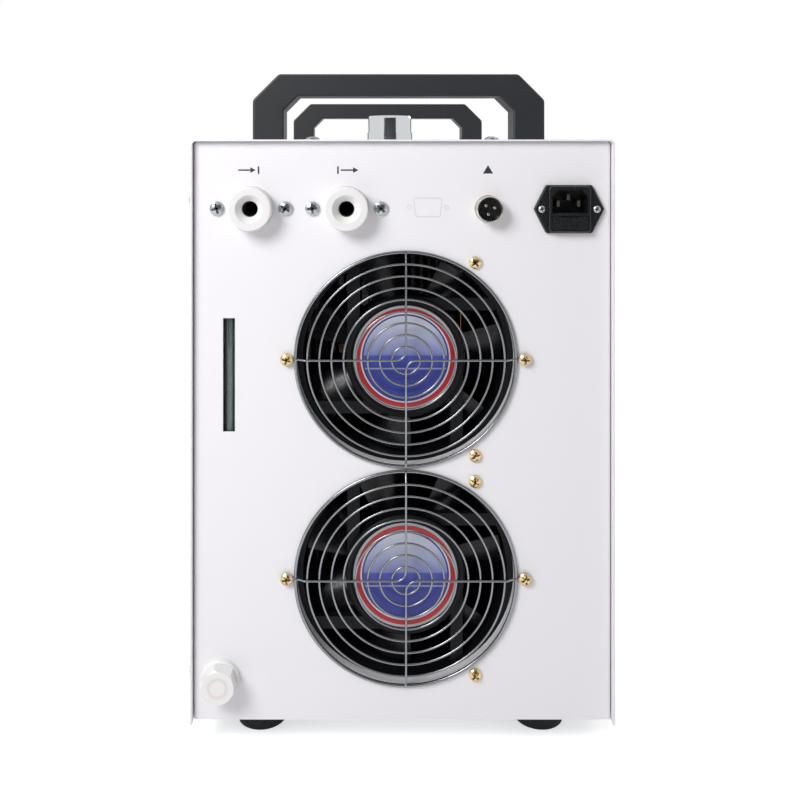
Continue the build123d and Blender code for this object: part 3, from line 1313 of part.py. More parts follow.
def make_fan_rotor(z):
    """The rotor cup with its shaft and its twisted blades."""
    place = on_rear(FAN_X, z, PANEL_IN_Y)
    front = HUB_BACK + ROTOR_GAP
    back = FAN_T - ROTOR_SET
    length = back - front
    tip = FAN_THROAT_R - BLADE_TIP_GAP
    blade = loft([blade_section(size) for size in (BLADE_ROOT, BLADE_MID, BLADE_END)])
    blade = blade & Cylinder(tip, 2 * FAN_T)
    rotor = Cylinder(ROTOR_R, length)
    rotor -= Pos(0, 0, ROTOR_WALL - length / 2) * Cylinder(ROTOR_R - ROTOR_WALL, length, align=BASE)
    blade -= Cylinder(ROTOR_R - ROTOR_WALL / 2, 2 * FAN_T)
    for k in range(BLADE_COUNT):
        rotor += Rot(0, 0, 360 / BLADE_COUNT * k) * blade
    shaft = Pos(0, 0, ROTOR_WALL / 2 - length / 2) * Cylinder(SHAFT_R, back - SHAFT_SET, align=BASE)
    return place * Pos(0, 0, -(front + back) / 2) * (rotor + shaft)


def make_fan_labels():
    """A round printed label on each motor hub."""
    lie = -HUB_SET - HUB_DISH
    return [rod(on_rear(FAN_X, z, PANEL_IN_Y), LABEL_R, LABEL_T, lie) for z in FAN_CENTRES]


def guard_ring(radius, wire, height):
    """One ring of the guard, slightly wider than it is tall: four bends that meet smoothly."""
    off = radius * (GUARD_WIDEN - 1) / (2 - sqrt(2))
    end = radius * GUARD_WIDEN - off
    crown = radius + off
    section = Plane.XZ * Circle(wire)
    found = None
    for k, (x, y, bend) in enumerate([(off, 0, end), (0, -off, crown), (-off, 0, end), (0, off, crown)]):
        quarter = revolve(Pos(bend, 0, 0) * section, Axis.Z, revolution_arc=90)
        quarter = Pos(x, y, height) * Rot(0, 0, 90 * k - 45) * quarter
        found = quarter if found is None else found + quarter
    return found


def make_guard(z):
    """Concentric rings welded under two bent wires that cross at the middle."""
    rings = [GUARD_FIRST_R + k * GUARD_STEP for k in range(GUARD_RINGS)]
    top = GUARD_STAND + 2 * GUARD_WIRE_R - GUARD_WELD
    guard = guard_ring(rings[-1], GUARD_RIM_R, GUARD_RIM_R)
    wide, tall = rings[-1] * GUARD_WIDEN, rings[-1]
    low = GUARD_RIM_R * 2 + GUARD_WIRE_R - GUARD_WELD
    near = rings[-2] + 2 * GUARD_WIRE_R
    bent = [(0, tall, low), (0, tall - GUARD_STEP / 3, low), (0, near, top), (0, 0, top),
            (-near * GUARD_WIDEN, 0, top), (-wide + GUARD_STEP / 3, 0, low), (-wide, 0, low)]
    small = 0.8 * GUARD_WIRE_R
    arm = tube(bent, [small, small, GUARD_BEND_R, small, small], GUARD_WIRE_R)
    arm += Pos(-FAN_HOLE_R, 0, GUARD_WIRE_R) * Torus(GUARD_EYE_R, GUARD_WIRE_R)
    arm += tube([(-wide, 0, GUARD_WIRE_R), (-FAN_HOLE_R + GUARD_EYE_R, 0, GUARD_WIRE_R)], 0, GUARD_WIRE_R)
    guard += arm
    guard += Rot(0, 0, 180) * arm
    for radius in rings[:-1]:
        guard += guard_ring(radius, GUARD_WIRE_R, GUARD_STAND)
    return on_rear(FAN_X, z, PANEL_Y) * guard


def make_fan_screws():
    solid = screw(FAN_SCREW)
    return [place * solid for z in FAN_CENTRES for place, _ in fan_screw_places(z)]


def control_body_w():
    return CONTROL_W - 2 * CONTROL_CUT


def control_body_h():
    return CONTROL_TALL - 2 * CONTROL_CUT


def button_places():
    """Three keys one above the other, right of the display."""
    found = []
    for k in range(len(BUTTON_NAMES)):
        up = (1 - k) * BUTTON_PITCH
        found.append(on_front(CONTROL_X, PAN_Z + CONTROL_H, CONTROL_FRONT_Y) * Pos(BUTTON_X, up, 0))
    return found


def make_controller():
    """The temperature controller: bezel outside, case inside, pockets for window and keys."""
    place = on_front(CONTROL_X, PAN_Z + CONTROL_H, FRONT_PANEL_Y)
    bezel = plate(place, RectangleRounded(CONTROL_W, CONTROL_TALL, 3), CONTROL_BEZEL_T)
    bezel = fillet(bezel.faces().sort_by(Axis.Y)[-1].edges(), 1)
    case = block(place, control_body_w(), control_body_h(), CONTROL_BODY_L + 1, -CONTROL_BODY_L)
    body = bezel + case
    window = place * Pos(WINDOW_X, 0, 0)
    body -= block(window, WINDOW_W, WINDOW_TALL, WINDOW_T + 1, CONTROL_BEZEL_T - WINDOW_T)
    depth = BUTTON_STEM + BUTTON_TRAVEL + FIT_GAP
    for key in button_places():
        body -= block(key, BUTTON_W + 2 * FIT_GAP, BUTTON_TALL + 2 * FIT_GAP, depth + 1, -depth)
    return body


def make_display_window():
    place = on_front(CONTROL_X, PAN_Z + CONTROL_H, FRONT_PANEL_Y) * Pos(WINDOW_X, 0, 0)
    return block(place, WINDOW_W, WINDOW_TALL, WINDOW_T, CONTROL_BEZEL_T - WINDOW_T)


def make_button(place):
    cap = RectangleRounded(BUTTON_W, BUTTON_TALL, 1.2)
    key = place * Pos(0, 0, -BUTTON_STEM) * extrude(cap, BUTTON_STEM + BUTTON_PROUD)
    return fillet(key.faces().sort_by(Axis.Y)[-1].edges(), 0.4)


def switch_place():
    return on_front(SWITCH_X, PAN_Z + CONTROL_H, FRONT_PANEL_Y)


def switch_body_w():
    return SWITCH_W - 4


def switch_body_h():
    return SWITCH_TALL - 3


def make_power_switch():
    """The switch frame with its case, and the seat of the rocker's pins."""
    place = switch_place()
    frame = plate(place, RectangleRounded(SWITCH_W, SWITCH_TALL, 2), SWITCH_BEZEL_T)
    frame = fillet(frame.faces().sort_by(Axis.Y)[-1].edges(), 0.6)
    frame += block(place, switch_body_w(), switch_body_h(), SWITCH_BODY_L + 1, -SWITCH_BODY_L)
    room = rocker_room()
    frame -= block(place, ROCKER_W + 2 * ROCKER_GAP, ROCKER_TALL + 2 * ROCKER_GAP, room + 5, -room)
    pin = place * Pos(0, 0, -ROCKER_PIN_DEEP) * Rot(0, 90, 0)
    return frame - pin * Cylinder(ROCKER_PIN_R + RUNNING_GAP, ROCKER_W + 2 * ROCKER_GAP + 3)


def rocker_room():
    return ROCKER_PIN_DEEP + ROCKER_TALL / 2 * sin(radians(2 * ROCKER_TILT)) + 4


def make_power_rocker():
    """A shallow V seen from the side, tilted so that its lower half is pressed in."""
    half = ROCKER_TALL / 2 - 0.6
    rise = half * sin(radians(ROCKER_TILT))
    outline = make_face(Polyline((-half, 3.6 + rise), (0, 3.2), (half, 3.6 + rise), (half - 1.2, -1),
                                 (2.5, -3.2), (-2.5, -3.2), (-half + 1.2, -1), close=True))
    side = Plane(origin=(-ROCKER_W / 2, 0, 0), x_dir=(0, 1, 0), z_dir=(1, 0, 0))
    body = side * extrude(outline, ROCKER_W)
    pin = Rot(0, 90, 0) * Cylinder(ROCKER_PIN_R, ROCKER_W + 2 * ROCKER_GAP + 2)
    return switch_place() * Pos(0, 0, -ROCKER_PIN_DEEP) * Rot(ROCKER_TILT, 0, 0) * (body + pin)


def make_run_capacitor():
    """The fan and compressor capacitor, clipped upright to the pan."""
    place = Plane(origin=(CAP_X, FRONT_PANEL_IN_Y - CAP_FROM_FRONT, FLOOR_Z))
    can = rod(place, CAP_R, CAP_H) + rod(place, CAP_R + CAP_RIM, CAP_RIM_T)
    for side in (-1, 1):
        can += block(place * Pos(side * CAP_TAB_X, 0, 0), 1, CAP_TAB_W, CAP_TAB_L + 1, CAP_H - 1)
    return can


def make_wiring_loom():
    """The bundle from the mains inlet to the switch and the controller."""
    start_y = PANEL_Y + SOCKET_BODY_L + BLADE_TAIL
    z = PAN_Z + SOCKET_H + BLADE_TOP_UP
    high = PAN_Z + LOOM_H
    end_y = FRONT_PANEL_Y - SWITCH_BODY_L
    near, far = LOOM_RUN
    points = [(SOCKET_X, start_y, z), (SOCKET_X, start_y + near, z), (LOOM_X, start_y + far, high),
              (LOOM_X, end_y - far, high), (SWITCH_X, end_y - near, PAN_Z + CONTROL_H),
              (SWITCH_X, end_y, PAN_Z + CONTROL_H)]
    return tube(points, LOOM_BEND_R, LOOM_R)


def save(name, shape):
    """Writes one piece, or one group of like pieces, as its own file."""
    solids = shape if isinstance(shape, list) else [shape]
    solids = [solid for item in solids for solid in item.solids()]
    whole = solids[0] if len(solids) == 1 else Compound(children=solids)
    whole.label = name
    export_step(whole, f"parts/{name}.step")


def main():
    os.makedirs("parts", exist_ok=True)
    save("base_pan", make_base_pan())
    save("rear_panel", make_rear_panel())
    save("front_panel", make_front_panel())
    save("cover", make_cover())
    save("rubber_feet", make_feet())
    save("foot_screws", make_foot_screws())
    save("rear_handle", make_handle(REAR_Y + HANDLE_FROM_END))
    save("front_handle", make_handle(FRONT_Y - HANDLE_FROM_END))
    save("handle_screws", make_handle_screws())
    save("cover_screws", make_cover_screws())
    save("filler_neck", make_filler_neck())
    save("filler_cap", make_filler_cap())
    save("cap_gasket", make_cap_gasket())
    save("water_tank", make_tank())
    save("tank_lid", make_tank_lid())
    save("tank_shelf", make_tank_shelf())
    save("evaporator_coil", make_evaporator_coil())
    save("compressor", make_compressor())
    save("compressor_grommets", make_grommets())
    save("compressor_bolts", make_compressor_bolts())
    save("condenser_core", make_condenser_core())
    save("condenser_bends", make_condenser_bends())
    save("fan_shroud", make_fan_shroud())
    save("refrigerant_lines", make_refrigerant_lines() + [make_filter_drier()])
    save("pump_motor", make_pump_motor())
    save("pump_head", make_pump_head())
    save("water_hoses", make_water_hoses())
    save("sight_elbows", make_sight_elbows())
    save("sight_tube", make_sight_tube())
    for name, x in zip(("inlet_fitting", "outlet_fitting"), FITTING_X):
        save(name, make_fitting(x))
    save("fitting_screws", make_fitting_screws())
    save("alarm_plug_shell", make_plug_shell())
    save("alarm_plug_insert", make_plug_insert())
    save("alarm_plug_pins", make_plug_pins())
    save("lock_nuts", make_lock_nuts())
    save("power_inlet", make_power_inlet())
    save("power_blades", make_power_blades())
    save("fuse_drawer", make_fuse_drawer())
    save("fuses", make_fuses())
    save("inlet_screws", make_socket_screws())
    save("drain_valve", make_drain_valve())
    save("drain_cap", make_drain_cap())
    for name, z in zip(FAN_NAMES, FAN_CENTRES):
        save(f"{name}_fan_frame", make_fan_frame(z))
        save(f"{name}_fan_rotor", make_fan_rotor(z))
        save(f"{name}_fan_guard", make_guard(z))
    save("fan_screws", make_fan_screws())
    save("fan_labels", make_fan_labels())
    save("controller", make_controller())
    save("display_window", make_display_window())
    for name, place in zip(BUTTON_NAMES, button_places()):
        save(name, make_button(place))
    save("power_switch", make_power_switch())
    save("power_rocker", make_power_rocker())
    save("run_capacitor", make_run_capacitor())
    save("wiring_loom", make_wiring_loom())


main()
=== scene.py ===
# %% [markdown]
# # A recirculating chiller, seen from its rear panel
#
# The solids of this machine come from CAD. This file gives them their finishes, makes the small
# repeated metalwork again with finer detail, and sets up the camera, the floor and the lamps.
# Everything is in metres and in the frame of the CAD model: +Z is up, and the rear panel faces -Y.

from math import cos, pi, radians, sin

import bpy
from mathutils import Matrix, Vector


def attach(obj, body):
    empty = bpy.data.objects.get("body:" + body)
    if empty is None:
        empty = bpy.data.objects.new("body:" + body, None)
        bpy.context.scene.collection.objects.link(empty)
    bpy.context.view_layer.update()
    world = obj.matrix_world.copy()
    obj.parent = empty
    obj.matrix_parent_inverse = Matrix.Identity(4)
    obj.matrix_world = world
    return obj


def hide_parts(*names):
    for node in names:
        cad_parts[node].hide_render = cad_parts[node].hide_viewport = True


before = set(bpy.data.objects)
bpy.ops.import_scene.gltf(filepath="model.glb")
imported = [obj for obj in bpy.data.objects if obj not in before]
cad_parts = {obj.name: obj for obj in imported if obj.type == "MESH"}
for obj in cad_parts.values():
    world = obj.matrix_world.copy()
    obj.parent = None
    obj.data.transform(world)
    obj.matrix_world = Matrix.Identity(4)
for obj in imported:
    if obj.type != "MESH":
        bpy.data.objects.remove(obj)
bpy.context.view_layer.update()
scene = bpy.context.scene
MM = 0.001

# %% [markdown]
# ## The camera
#
# The picture was taken straight on, with the lens a little left of the middle and about level with
# the top of the casing. That shows in two things: the panel's sides stay almost parallel, and the
# front handle shrinks towards a point near the top. So the camera looks along +Y without any tilt,
# and a lens shift brings the whole panel into the frame, as a view camera would. Part of the
# camera's height is a lift of its own, kept apart from its place: a shifted lens needs that lift
# from every side to keep the unit in the middle, so it stays when the camera is moved elsewhere.

# %% Place the camera
PANEL_Y = -267.0
VIEW_DISTANCE = 600.0
VIEW_WIDTH = 549.1
EYE_X = -23.6
EYE_Z = 405.6
FRAME_MIDDLE_X = -1.6
FRAME_MIDDLE_Z = 239.8
LIFT = 275.0
NEAREST = 10.0

lens = bpy.data.cameras.new("panel_camera")
lens.lens = lens.sensor_width * VIEW_DISTANCE / VIEW_WIDTH
lens.shift_x = (FRAME_MIDDLE_X - EYE_X) / VIEW_WIDTH
lens.shift_y = (FRAME_MIDDLE_Z - EYE_Z) / VIEW_WIDTH
lens.clip_start = NEAREST * MM
camera = bpy.data.objects.new("panel_camera", lens)
camera.delta_location = Vector((0, 0, LIFT)) * MM
camera.location = Vector((EYE_X, PANEL_Y - VIEW_DISTANCE, EYE_Z - LIFT)) * MM
camera.rotation_euler = (radians(90), 0, 0)
scene.collection.objects.link(camera)
scene.camera = camera
print("focal length:", round(lens.lens, 1), "shift:", round(lens.shift_x, 3), round(lens.shift_y, 3))

# %% [markdown]
# ## Colours and nodes
#
# Colours are written as the hex values that an eye would pick from the real surface. Blender
# mixes light in linear values, so one function converts them. A second small function adds a node
# and fills its sockets, and the materials below are all written with it.

# %% Helpers for materials
NOISE_LOW, NOISE_HIGH = 0.3, 0.7


def linear(hex_colour):
    """Turns an sRGB hex colour into the linear values that shaders work with."""
    parts = [int(hex_colour[i:i + 2], 16) / 255 for i in (1, 3, 5)]
    return [c / 12.92 if c <= 0.04045 else ((c + 0.055) / 1.055) ** 2.4 for c in parts] + [1.0]


def add_node(tree, kind, inputs=None, **settings):
    """Adds one node. An input's value is a number, a colour, or another node's socket to link."""
    node = tree.nodes.new(kind)
    for name, value in settings.items():
        setattr(node, name, value)
    for name, value in (inputs or {}).items():
        if isinstance(value, bpy.types.NodeSocket):
            tree.links.new(value, node.inputs[name])
        else:
            node.inputs[name].default_value = value
    return node


def start_material(name, colour, **sockets):
    """A new material whose shader has its plain values set. Socket names use _ for a space."""
    material = bpy.data.materials.new(name)
    material.use_nodes = True
    shader = material.node_tree.nodes["Principled BSDF"]
    shader.inputs["Base Color"].default_value = linear(colour)
    for socket, value in sockets.items():
        shader.inputs[socket.replace("_", " ")].default_value = value
    return material, material.node_tree, shader


def add_grain(tree, shader, size_mm, depth_mm, detail=2.0, stretch=(1, 1, 1)):
    """Small bumps of a real size, from noise on the object's own coordinates."""
    place = add_node(tree, "ShaderNodeTexCoord")
    scaled = add_node(tree, "ShaderNodeMapping", {"Vector": place.outputs["Object"], "Scale": stretch})
    noise = add_node(tree, "ShaderNodeTexNoise",
                     {"Vector": scaled.outputs["Vector"], "Scale": 1 / (size_mm * MM), "Detail": detail})
    bump = add_node(tree, "ShaderNodeBump",
                    {"Height": noise.outputs["Fac"], "Strength": 1.0, "Distance": depth_mm * MM})
    tree.links.new(bump.outputs["Normal"], shader.inputs["Normal"])
    return noise


def vary(tree, shader, socket, factor, low, high):
    """Lets one of the shader's values wander between two others as a texture does."""
    spread = add_node(tree, "ShaderNodeMapRange",
                      {"Value": factor, "From Min": NOISE_LOW, "From Max": NOISE_HIGH,
                       "To Min": low, "To Max": high})
    tree.links.new(spread.outputs["Result"], shader.inputs[socket])


def tint(tree, shader, factor, first, second):
    """Lets the colour wander between two hex colours as a texture does."""
    mix = add_node(tree, "ShaderNodeMix", {"Factor": factor}, data_type="RGBA")
    mix.inputs["A"].default_value = linear(first)
    mix.inputs["B"].default_value = linear(second)
    tree.links.new(mix.outputs["Result"], shader.inputs["Base Color"])


def fill_ramp(ramp_node, stops):
    """Sets a colour ramp from (position, hex colour) pairs."""
    ramp = ramp_node.color_ramp
    while len(ramp.elements) < len(stops):
        ramp.elements.new(0.5)
    for element, (position, colour) in zip(ramp.elements, stops):
        element.position = position
        element.color = linear(colour)


finishes = {}


def dress(material, *nodes):
    """Gives a finish to the CAD nodes that have it."""
    for name in nodes:
        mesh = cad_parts[name].data
        mesh.materials.clear()
        mesh.materials.append(material)
        finishes[name] = material.name


# %% [markdown]
# ## The casing
#
# Cover and panels are folded steel sheet, powder coated. The powder melts into a skin with a faint
# orange peel: bumps about 2 mm wide and only microns high. It is a satin white with a touch of
# violet in its shade.

# %% Powder-coated steel
powder, tree, shader = start_material("powder_coated_steel", "#ECEAEE", Roughness=0.42,
                                      Specular_IOR_Level=0.4)
peel = add_grain(tree, shader, 2.2, 0.012)
vary(tree, shader, "Roughness", peel.outputs["Fac"], 0.38, 0.47)
dress(powder, "cover", "rear_panel", "front_panel")
print("powder coat on", [n for n, m in finishes.items() if m == powder.name])

# %% [markdown]
# The base pan and the tank's shelf are left in zinc-plated sheet. Zinc grows in crystals, the
# spangle, which break its grey into patches about 12 mm wide.

# %% Galvanised sheet
SPANGLE = 12.0
zinc, tree, shader = start_material("galvanised_sheet", "#A7ABAE", Metallic=1.0, Roughness=0.4)
place = add_node(tree, "ShaderNodeTexCoord")
spangle = add_node(tree, "ShaderNodeTexVoronoi",
                   {"Vector": place.outputs["Object"], "Scale": 1 / (SPANGLE * MM)})
tint(tree, shader, spangle.outputs["Color"], "#9DA1A5", "#B3B7BA")
vary(tree, shader, "Roughness", spangle.outputs["Color"], 0.34, 0.5)
dress(zinc, "base_pan", "tank_shelf")

# %% [markdown]
# The fans blow through a black painted duct. The condenser behind it gets the same black as painted
# shade, so the space behind the guards stays dark. The paint is sprayed thin, and it is satin.

# %% Black paint over metal
black_paint_and_shade, tree, shader = start_material("sprayed_black_paint", "#0C0D10", Roughness=0.5,
                                           Specular_IOR_Level=0.25)
speck = add_grain(tree, shader, 1.2, 0.01)
vary(tree, shader, "Roughness", speck.outputs["Fac"], 0.4, 0.55)
# On the condenser core this black is painted shade.
dress(black_paint_and_shade, "fan_shroud", "condenser_core", "compressor")

# %% [markdown]
# ## The handles
#
# Each handle is moulded from glass-filled nylon. Fibres near the surface give it a fine, slightly
# uneven grain, so its dark grey has soft highlights rather than sharp ones.

# %% Moulded nylon
nylon, tree, shader = start_material("glass_filled_nylon", "#1F2226", Roughness=0.5)
grain = add_grain(tree, shader, 0.8, 0.03, detail=4.0)
vary(tree, shader, "Roughness", grain.outputs["Fac"], 0.42, 0.58)
tint(tree, shader, grain.outputs["Fac"], "#1C1F23", "#24282C")
dress(nylon, "rear_handle", "front_handle")

# %% [markdown]
# ## Plastics
#
# The water fittings, the drain and its cap are turned and moulded from white nylon. It is a little
# translucent, so light bleeds under its skin and its shadows are soft. Inside the two ports the
# bore is painted dark grey, which is painted shade for the deep holes, and the drain cap shows a
# faint warm ring where its seal lies under the skin. Both come from the distance to an axis:
# folding x about the middle between the ports makes one distance serve both.

# %% White nylon
PORT_X = {"inlet": -103.7, "outlet": -38.2}
PANEL_ROW_Z = 371.3
BORE_R = 5.4
DRAIN_AXIS = (-124.6, 49.9)
SEAL_REACH = 10.0
SEAL_STOPS = [(0.44, "#E9E8E7"), (0.56, "#E2D8D8"), (0.66, "#E2D8D8"), (0.78, "#E9E8E7")]


def reach_from(tree, x, z, fold=0.0):
    """Distance in metres from an axis along Y. With a fold, from two axes that far to each side."""
    place = add_node(tree, "ShaderNodeTexCoord")
    axes = add_node(tree, "ShaderNodeSeparateXYZ", {"Vector": place.outputs["Object"]})
    across = add_node(tree, "ShaderNodeMath", {0: axes.outputs["X"], 1: x * MM},
                      operation="SUBTRACT")
    folded = add_node(tree, "ShaderNodeMath", {0: across.outputs[0]}, operation="ABSOLUTE")
    beside = add_node(tree, "ShaderNodeMath", {0: folded.outputs[0], 1: fold * MM},
                      operation="SUBTRACT")
    up = add_node(tree, "ShaderNodeMath", {0: axes.outputs["Z"], 1: z * MM}, operation="SUBTRACT")
    flat = add_node(tree, "ShaderNodeCombineXYZ", {"X": beside.outputs[0], "Y": up.outputs[0]})
    reach = add_node(tree, "ShaderNodeVectorMath", {0: flat.outputs[0]}, operation="LENGTH")
    return reach.outputs["Value"]


white_nylon, tree, shader = start_material("natural_white_nylon", "#E9E8E7", Roughness=0.32,
                                           Subsurface_Weight=0.15, Subsurface_Scale=0.004)
swirl = add_grain(tree, shader, 3.0, 0.01)
vary(tree, shader, "Roughness", swirl.outputs["Fac"], 0.28, 0.38)
between = (PORT_X["inlet"] + PORT_X["outlet"]) / 2
from_ports = reach_from(tree, between, PANEL_ROW_Z, PORT_X["outlet"] - between)
# Inside the ports' bores the nylon is painted dark grey: painted shade for the deep holes.
bore_shade_mask = add_node(tree, "ShaderNodeMath", {0: from_ports, 1: BORE_R * MM}, operation="LESS_THAN")
seal = add_node(tree, "ShaderNodeMapRange",
                {"Value": reach_from(tree, *DRAIN_AXIS), "From Max": SEAL_REACH * MM})
warm = add_node(tree, "ShaderNodeValToRGB", {"Fac": seal.outputs["Result"]})
fill_ramp(warm, SEAL_STOPS)
bore = add_node(tree, "ShaderNodeMix", {"Factor": bore_shade_mask.outputs[0]}, data_type="RGBA")
tree.links.new(warm.outputs["Color"], bore.inputs["A"])
bore.inputs["B"].default_value = linear("#30343A")
tree.links.new(bore.outputs["Result"], shader.inputs["Base Color"])
dress(white_nylon, "inlet_fitting", "outlet_fitting", "sight_elbows", "drain_valve", "drain_cap")

# %% [markdown]
# The mains inlet and the power switch are black polycarbonate from polished moulds. Small sink
# marks and handling dull the gloss unevenly.

# %% Black polycarbonate
polycarbonate, tree, shader = start_material("black_polycarbonate", "#141619", Roughness=0.3)
haze = add_grain(tree, shader, 1.5, 0.008)
vary(tree, shader, "Roughness", haze.outputs["Fac"], 0.24, 0.38)
dress(polycarbonate, "power_inlet", "fuse_drawer", "power_switch", "pump_head", "alarm_plug_insert")

# %% [markdown]
# The controller is charcoal ABS with a spark-eroded texture, which makes it matt, and its keys are
# a lighter grey. The rocker is green acrylic and the display's window is smoked acrylic. Both are
# smooth enough to mirror the lamps.

# %% Control panel plastics
abs_dark, tree, shader = start_material("spark_textured_abs", "#3A3D41", Roughness=0.6)
add_grain(tree, shader, 0.5, 0.03, detail=3.0)
dress(abs_dark, "controller")

abs_light, tree, shader = start_material("matt_grey_abs", "#8E9195", Roughness=0.55)
add_grain(tree, shader, 0.5, 0.02, detail=3.0)
dress(abs_light, "up_button", "down_button", "set_button")

green_rocker, tree, shader = start_material("green_acrylic", "#1E7A3C", Roughness=0.15, Coat_Weight=0.5)
add_grain(tree, shader, 4.0, 0.01)
dress(green_rocker, "power_rocker")

smoked, tree, shader = start_material("smoked_acrylic", "#1A0C0D", Roughness=0.08, Coat_Weight=0.6)
add_grain(tree, shader, 6.0, 0.004)
dress(smoked, "display_window")

# %% [markdown]
# ## Rubber and hoses
#
# Feet, grommets and hoses are vulcanised rubber. It is nearly black and matt, with a light bloom
# that lifts its colour in patches.

# %% Rubber
rubber, tree, shader = start_material("vulcanised_rubber", "#18191B", Roughness=0.75,
                                      Specular_IOR_Level=0.3)
bloom = add_grain(tree, shader, 2.5, 0.05, detail=5.0)
tint(tree, shader, bloom.outputs["Fac"], "#141517", "#232426")
dress(rubber, "rubber_feet", "compressor_grommets", "cap_gasket", "water_hoses", "wiring_loom")

# %% [markdown]
# ## Metals
#
# Chromed brass is a mirror with a hint of blue. Nickel is warmer, and zinc plate is duller. The
# inlet's brass blades have tarnished to a dull straw grey. Brushed stainless steel and drawn
# aluminium spread their highlights along the grain, copper carries brown clouds of oxide, and the
# pump's blue enamel is smooth. Each metal keeps the default index of refraction, because its
# reflection comes from its colour.

# %% Plated metals
chrome, tree, shader = start_material("chromed_brass", "#CFD2D4", Metallic=1.0, Roughness=0.12)
add_grain(tree, shader, 8.0, 0.01)
dress(chrome, "filler_neck", "filler_cap")

nickel, tree, shader = start_material("nickel_plated_brass", "#C4C0B6", Metallic=1.0, Roughness=0.2)
dull = add_grain(tree, shader, 1.0, 0.006)
vary(tree, shader, "Roughness", dull.outputs["Fac"], 0.16, 0.3)
dress(nickel, "alarm_plug_shell", "alarm_plug_pins", "lock_nuts")

brass, tree, shader = start_material("tarnished_brass_blade", "#8A8578", Metallic=1.0, Roughness=0.3)
dull = add_grain(tree, shader, 0.8, 0.006)
vary(tree, shader, "Roughness", dull.outputs["Fac"], 0.24, 0.4)
dress(brass, "power_blades")

steel, tree, shader = start_material("zinc_plated_steel", "#A3A7A9", Metallic=1.0, Roughness=0.28)
dull = add_grain(tree, shader, 0.7, 0.006)
vary(tree, shader, "Roughness", dull.outputs["Fac"], 0.22, 0.36)
dress(steel, "foot_screws", "handle_screws", "compressor_bolts")

stainless, tree, shader = start_material("brushed_stainless_steel", "#B4B6B6", Metallic=1.0, Roughness=0.3)
brush = add_grain(tree, shader, 0.6, 0.01, stretch=(0.02, 1, 1))
vary(tree, shader, "Roughness", brush.outputs["Fac"], 0.24, 0.4)
dress(stainless, "water_tank", "tank_lid", "evaporator_coil")

copper, tree, shader = start_material("drawn_copper", "#C4785A", Metallic=1.0, Roughness=0.28)
oxide = add_grain(tree, shader, 9.0, 0.01, detail=4.0)
tint(tree, shader, oxide.outputs["Fac"], "#A9634A", "#CF8666")
dress(copper, "condenser_bends", "refrigerant_lines")

can, tree, shader = start_material("drawn_aluminium", "#C2C4C6", Metallic=1.0, Roughness=0.32)
add_grain(tree, shader, 0.8, 0.008, stretch=(1, 1, 0.05))
dress(can, "run_capacitor")

blue_enamel, tree, shader = start_material("blue_enamel", "#2B4570", Roughness=0.35)
add_grain(tree, shader, 2.0, 0.02)
dress(blue_enamel, "pump_motor")

# %% [markdown]
# ## Glass and clear tube
#
# The level is read through a clear acrylic tube behind its slot. Seen from outside, it is a dark
# grey-green streak with a thin highlight. The fuses' small glass tubes look the same and share it.

# %% Clear tube
clear, tree, shader = start_material("clear_acrylic_tube", "#A4B4B2", Roughness=0.05, IOR=1.49,
                                     Transmission_Weight=0.9)
add_grain(tree, shader, 5.0, 0.004)
dress(clear, "sight_tube", "fuses")

# %% [markdown]
# ## The fans
#
# Frame and impeller are black: the cast frame has a satin paint, and the pressed blades a
# glossier one. Streaks of reflected light on them are all that shows in the dark.

# %% Fan paint
cast, tree, shader = start_material("painted_die_casting", "#0D0E12", Roughness=0.48,
                                    Specular_IOR_Level=0.2)
sand = add_grain(tree, shader, 1.0, 0.02, detail=3.0)
vary(tree, shader, "Roughness", sand.outputs["Fac"], 0.42, 0.55)
dress(cast, "upper_fan_frame", "lower_fan_frame")

blade_paint, tree, shader = start_material("glossy_blade_paint", "#0C0D11", Roughness=0.3,
                                           Specular_IOR_Level=0.3)
flow = add_grain(tree, shader, 3.0, 0.01)
vary(tree, shader, "Roughness", flow.outputs["Fac"], 0.2, 0.32)
dress(blade_paint, "upper_fan_rotor", "lower_fan_rotor")

# %% [markdown]
# Each motor hub carries a round printed label. Its colours are plain rings and two halves: a red
# band inside a pale grey edge, a white line, a dark blue line, then silver above and blue below.
# The pale grey edge is a painted highlight of the hub's rim. The pattern is worked out from the
# distance to the hub's centre. Both hubs are one node, so the height is wrapped at the distance
# between the fans, and one set of nodes serves both.

# %% Printed hub labels
FAN_X = 2.3
FAN_Z = {"lower": 117.9, "upper": 268.0}
FAN_PITCH = FAN_Z["upper"] - FAN_Z["lower"]
LABEL_R = 36.0
FIELD_EDGE = 0.805
# The last stop, the pale grey edge, is a painted highlight of the hub's rim, not print.
RING_STOPS = [(0.0, "#000000"), (FIELD_EDGE, "#1C2670"), (0.835, "#C9CCD6"), (0.862, "#A81218"),
              (0.95, "#A9AEB2")]
FIELD_STOPS = [(0.1, "#1C2A86"), (0.385, "#2B3690"), (0.395, "#AAB0D6"), (0.405, "#2B3690"),
               (0.515, "#3E4AA6"), (0.53, "#7F87BE"), (0.95, "#D3D6DE")]

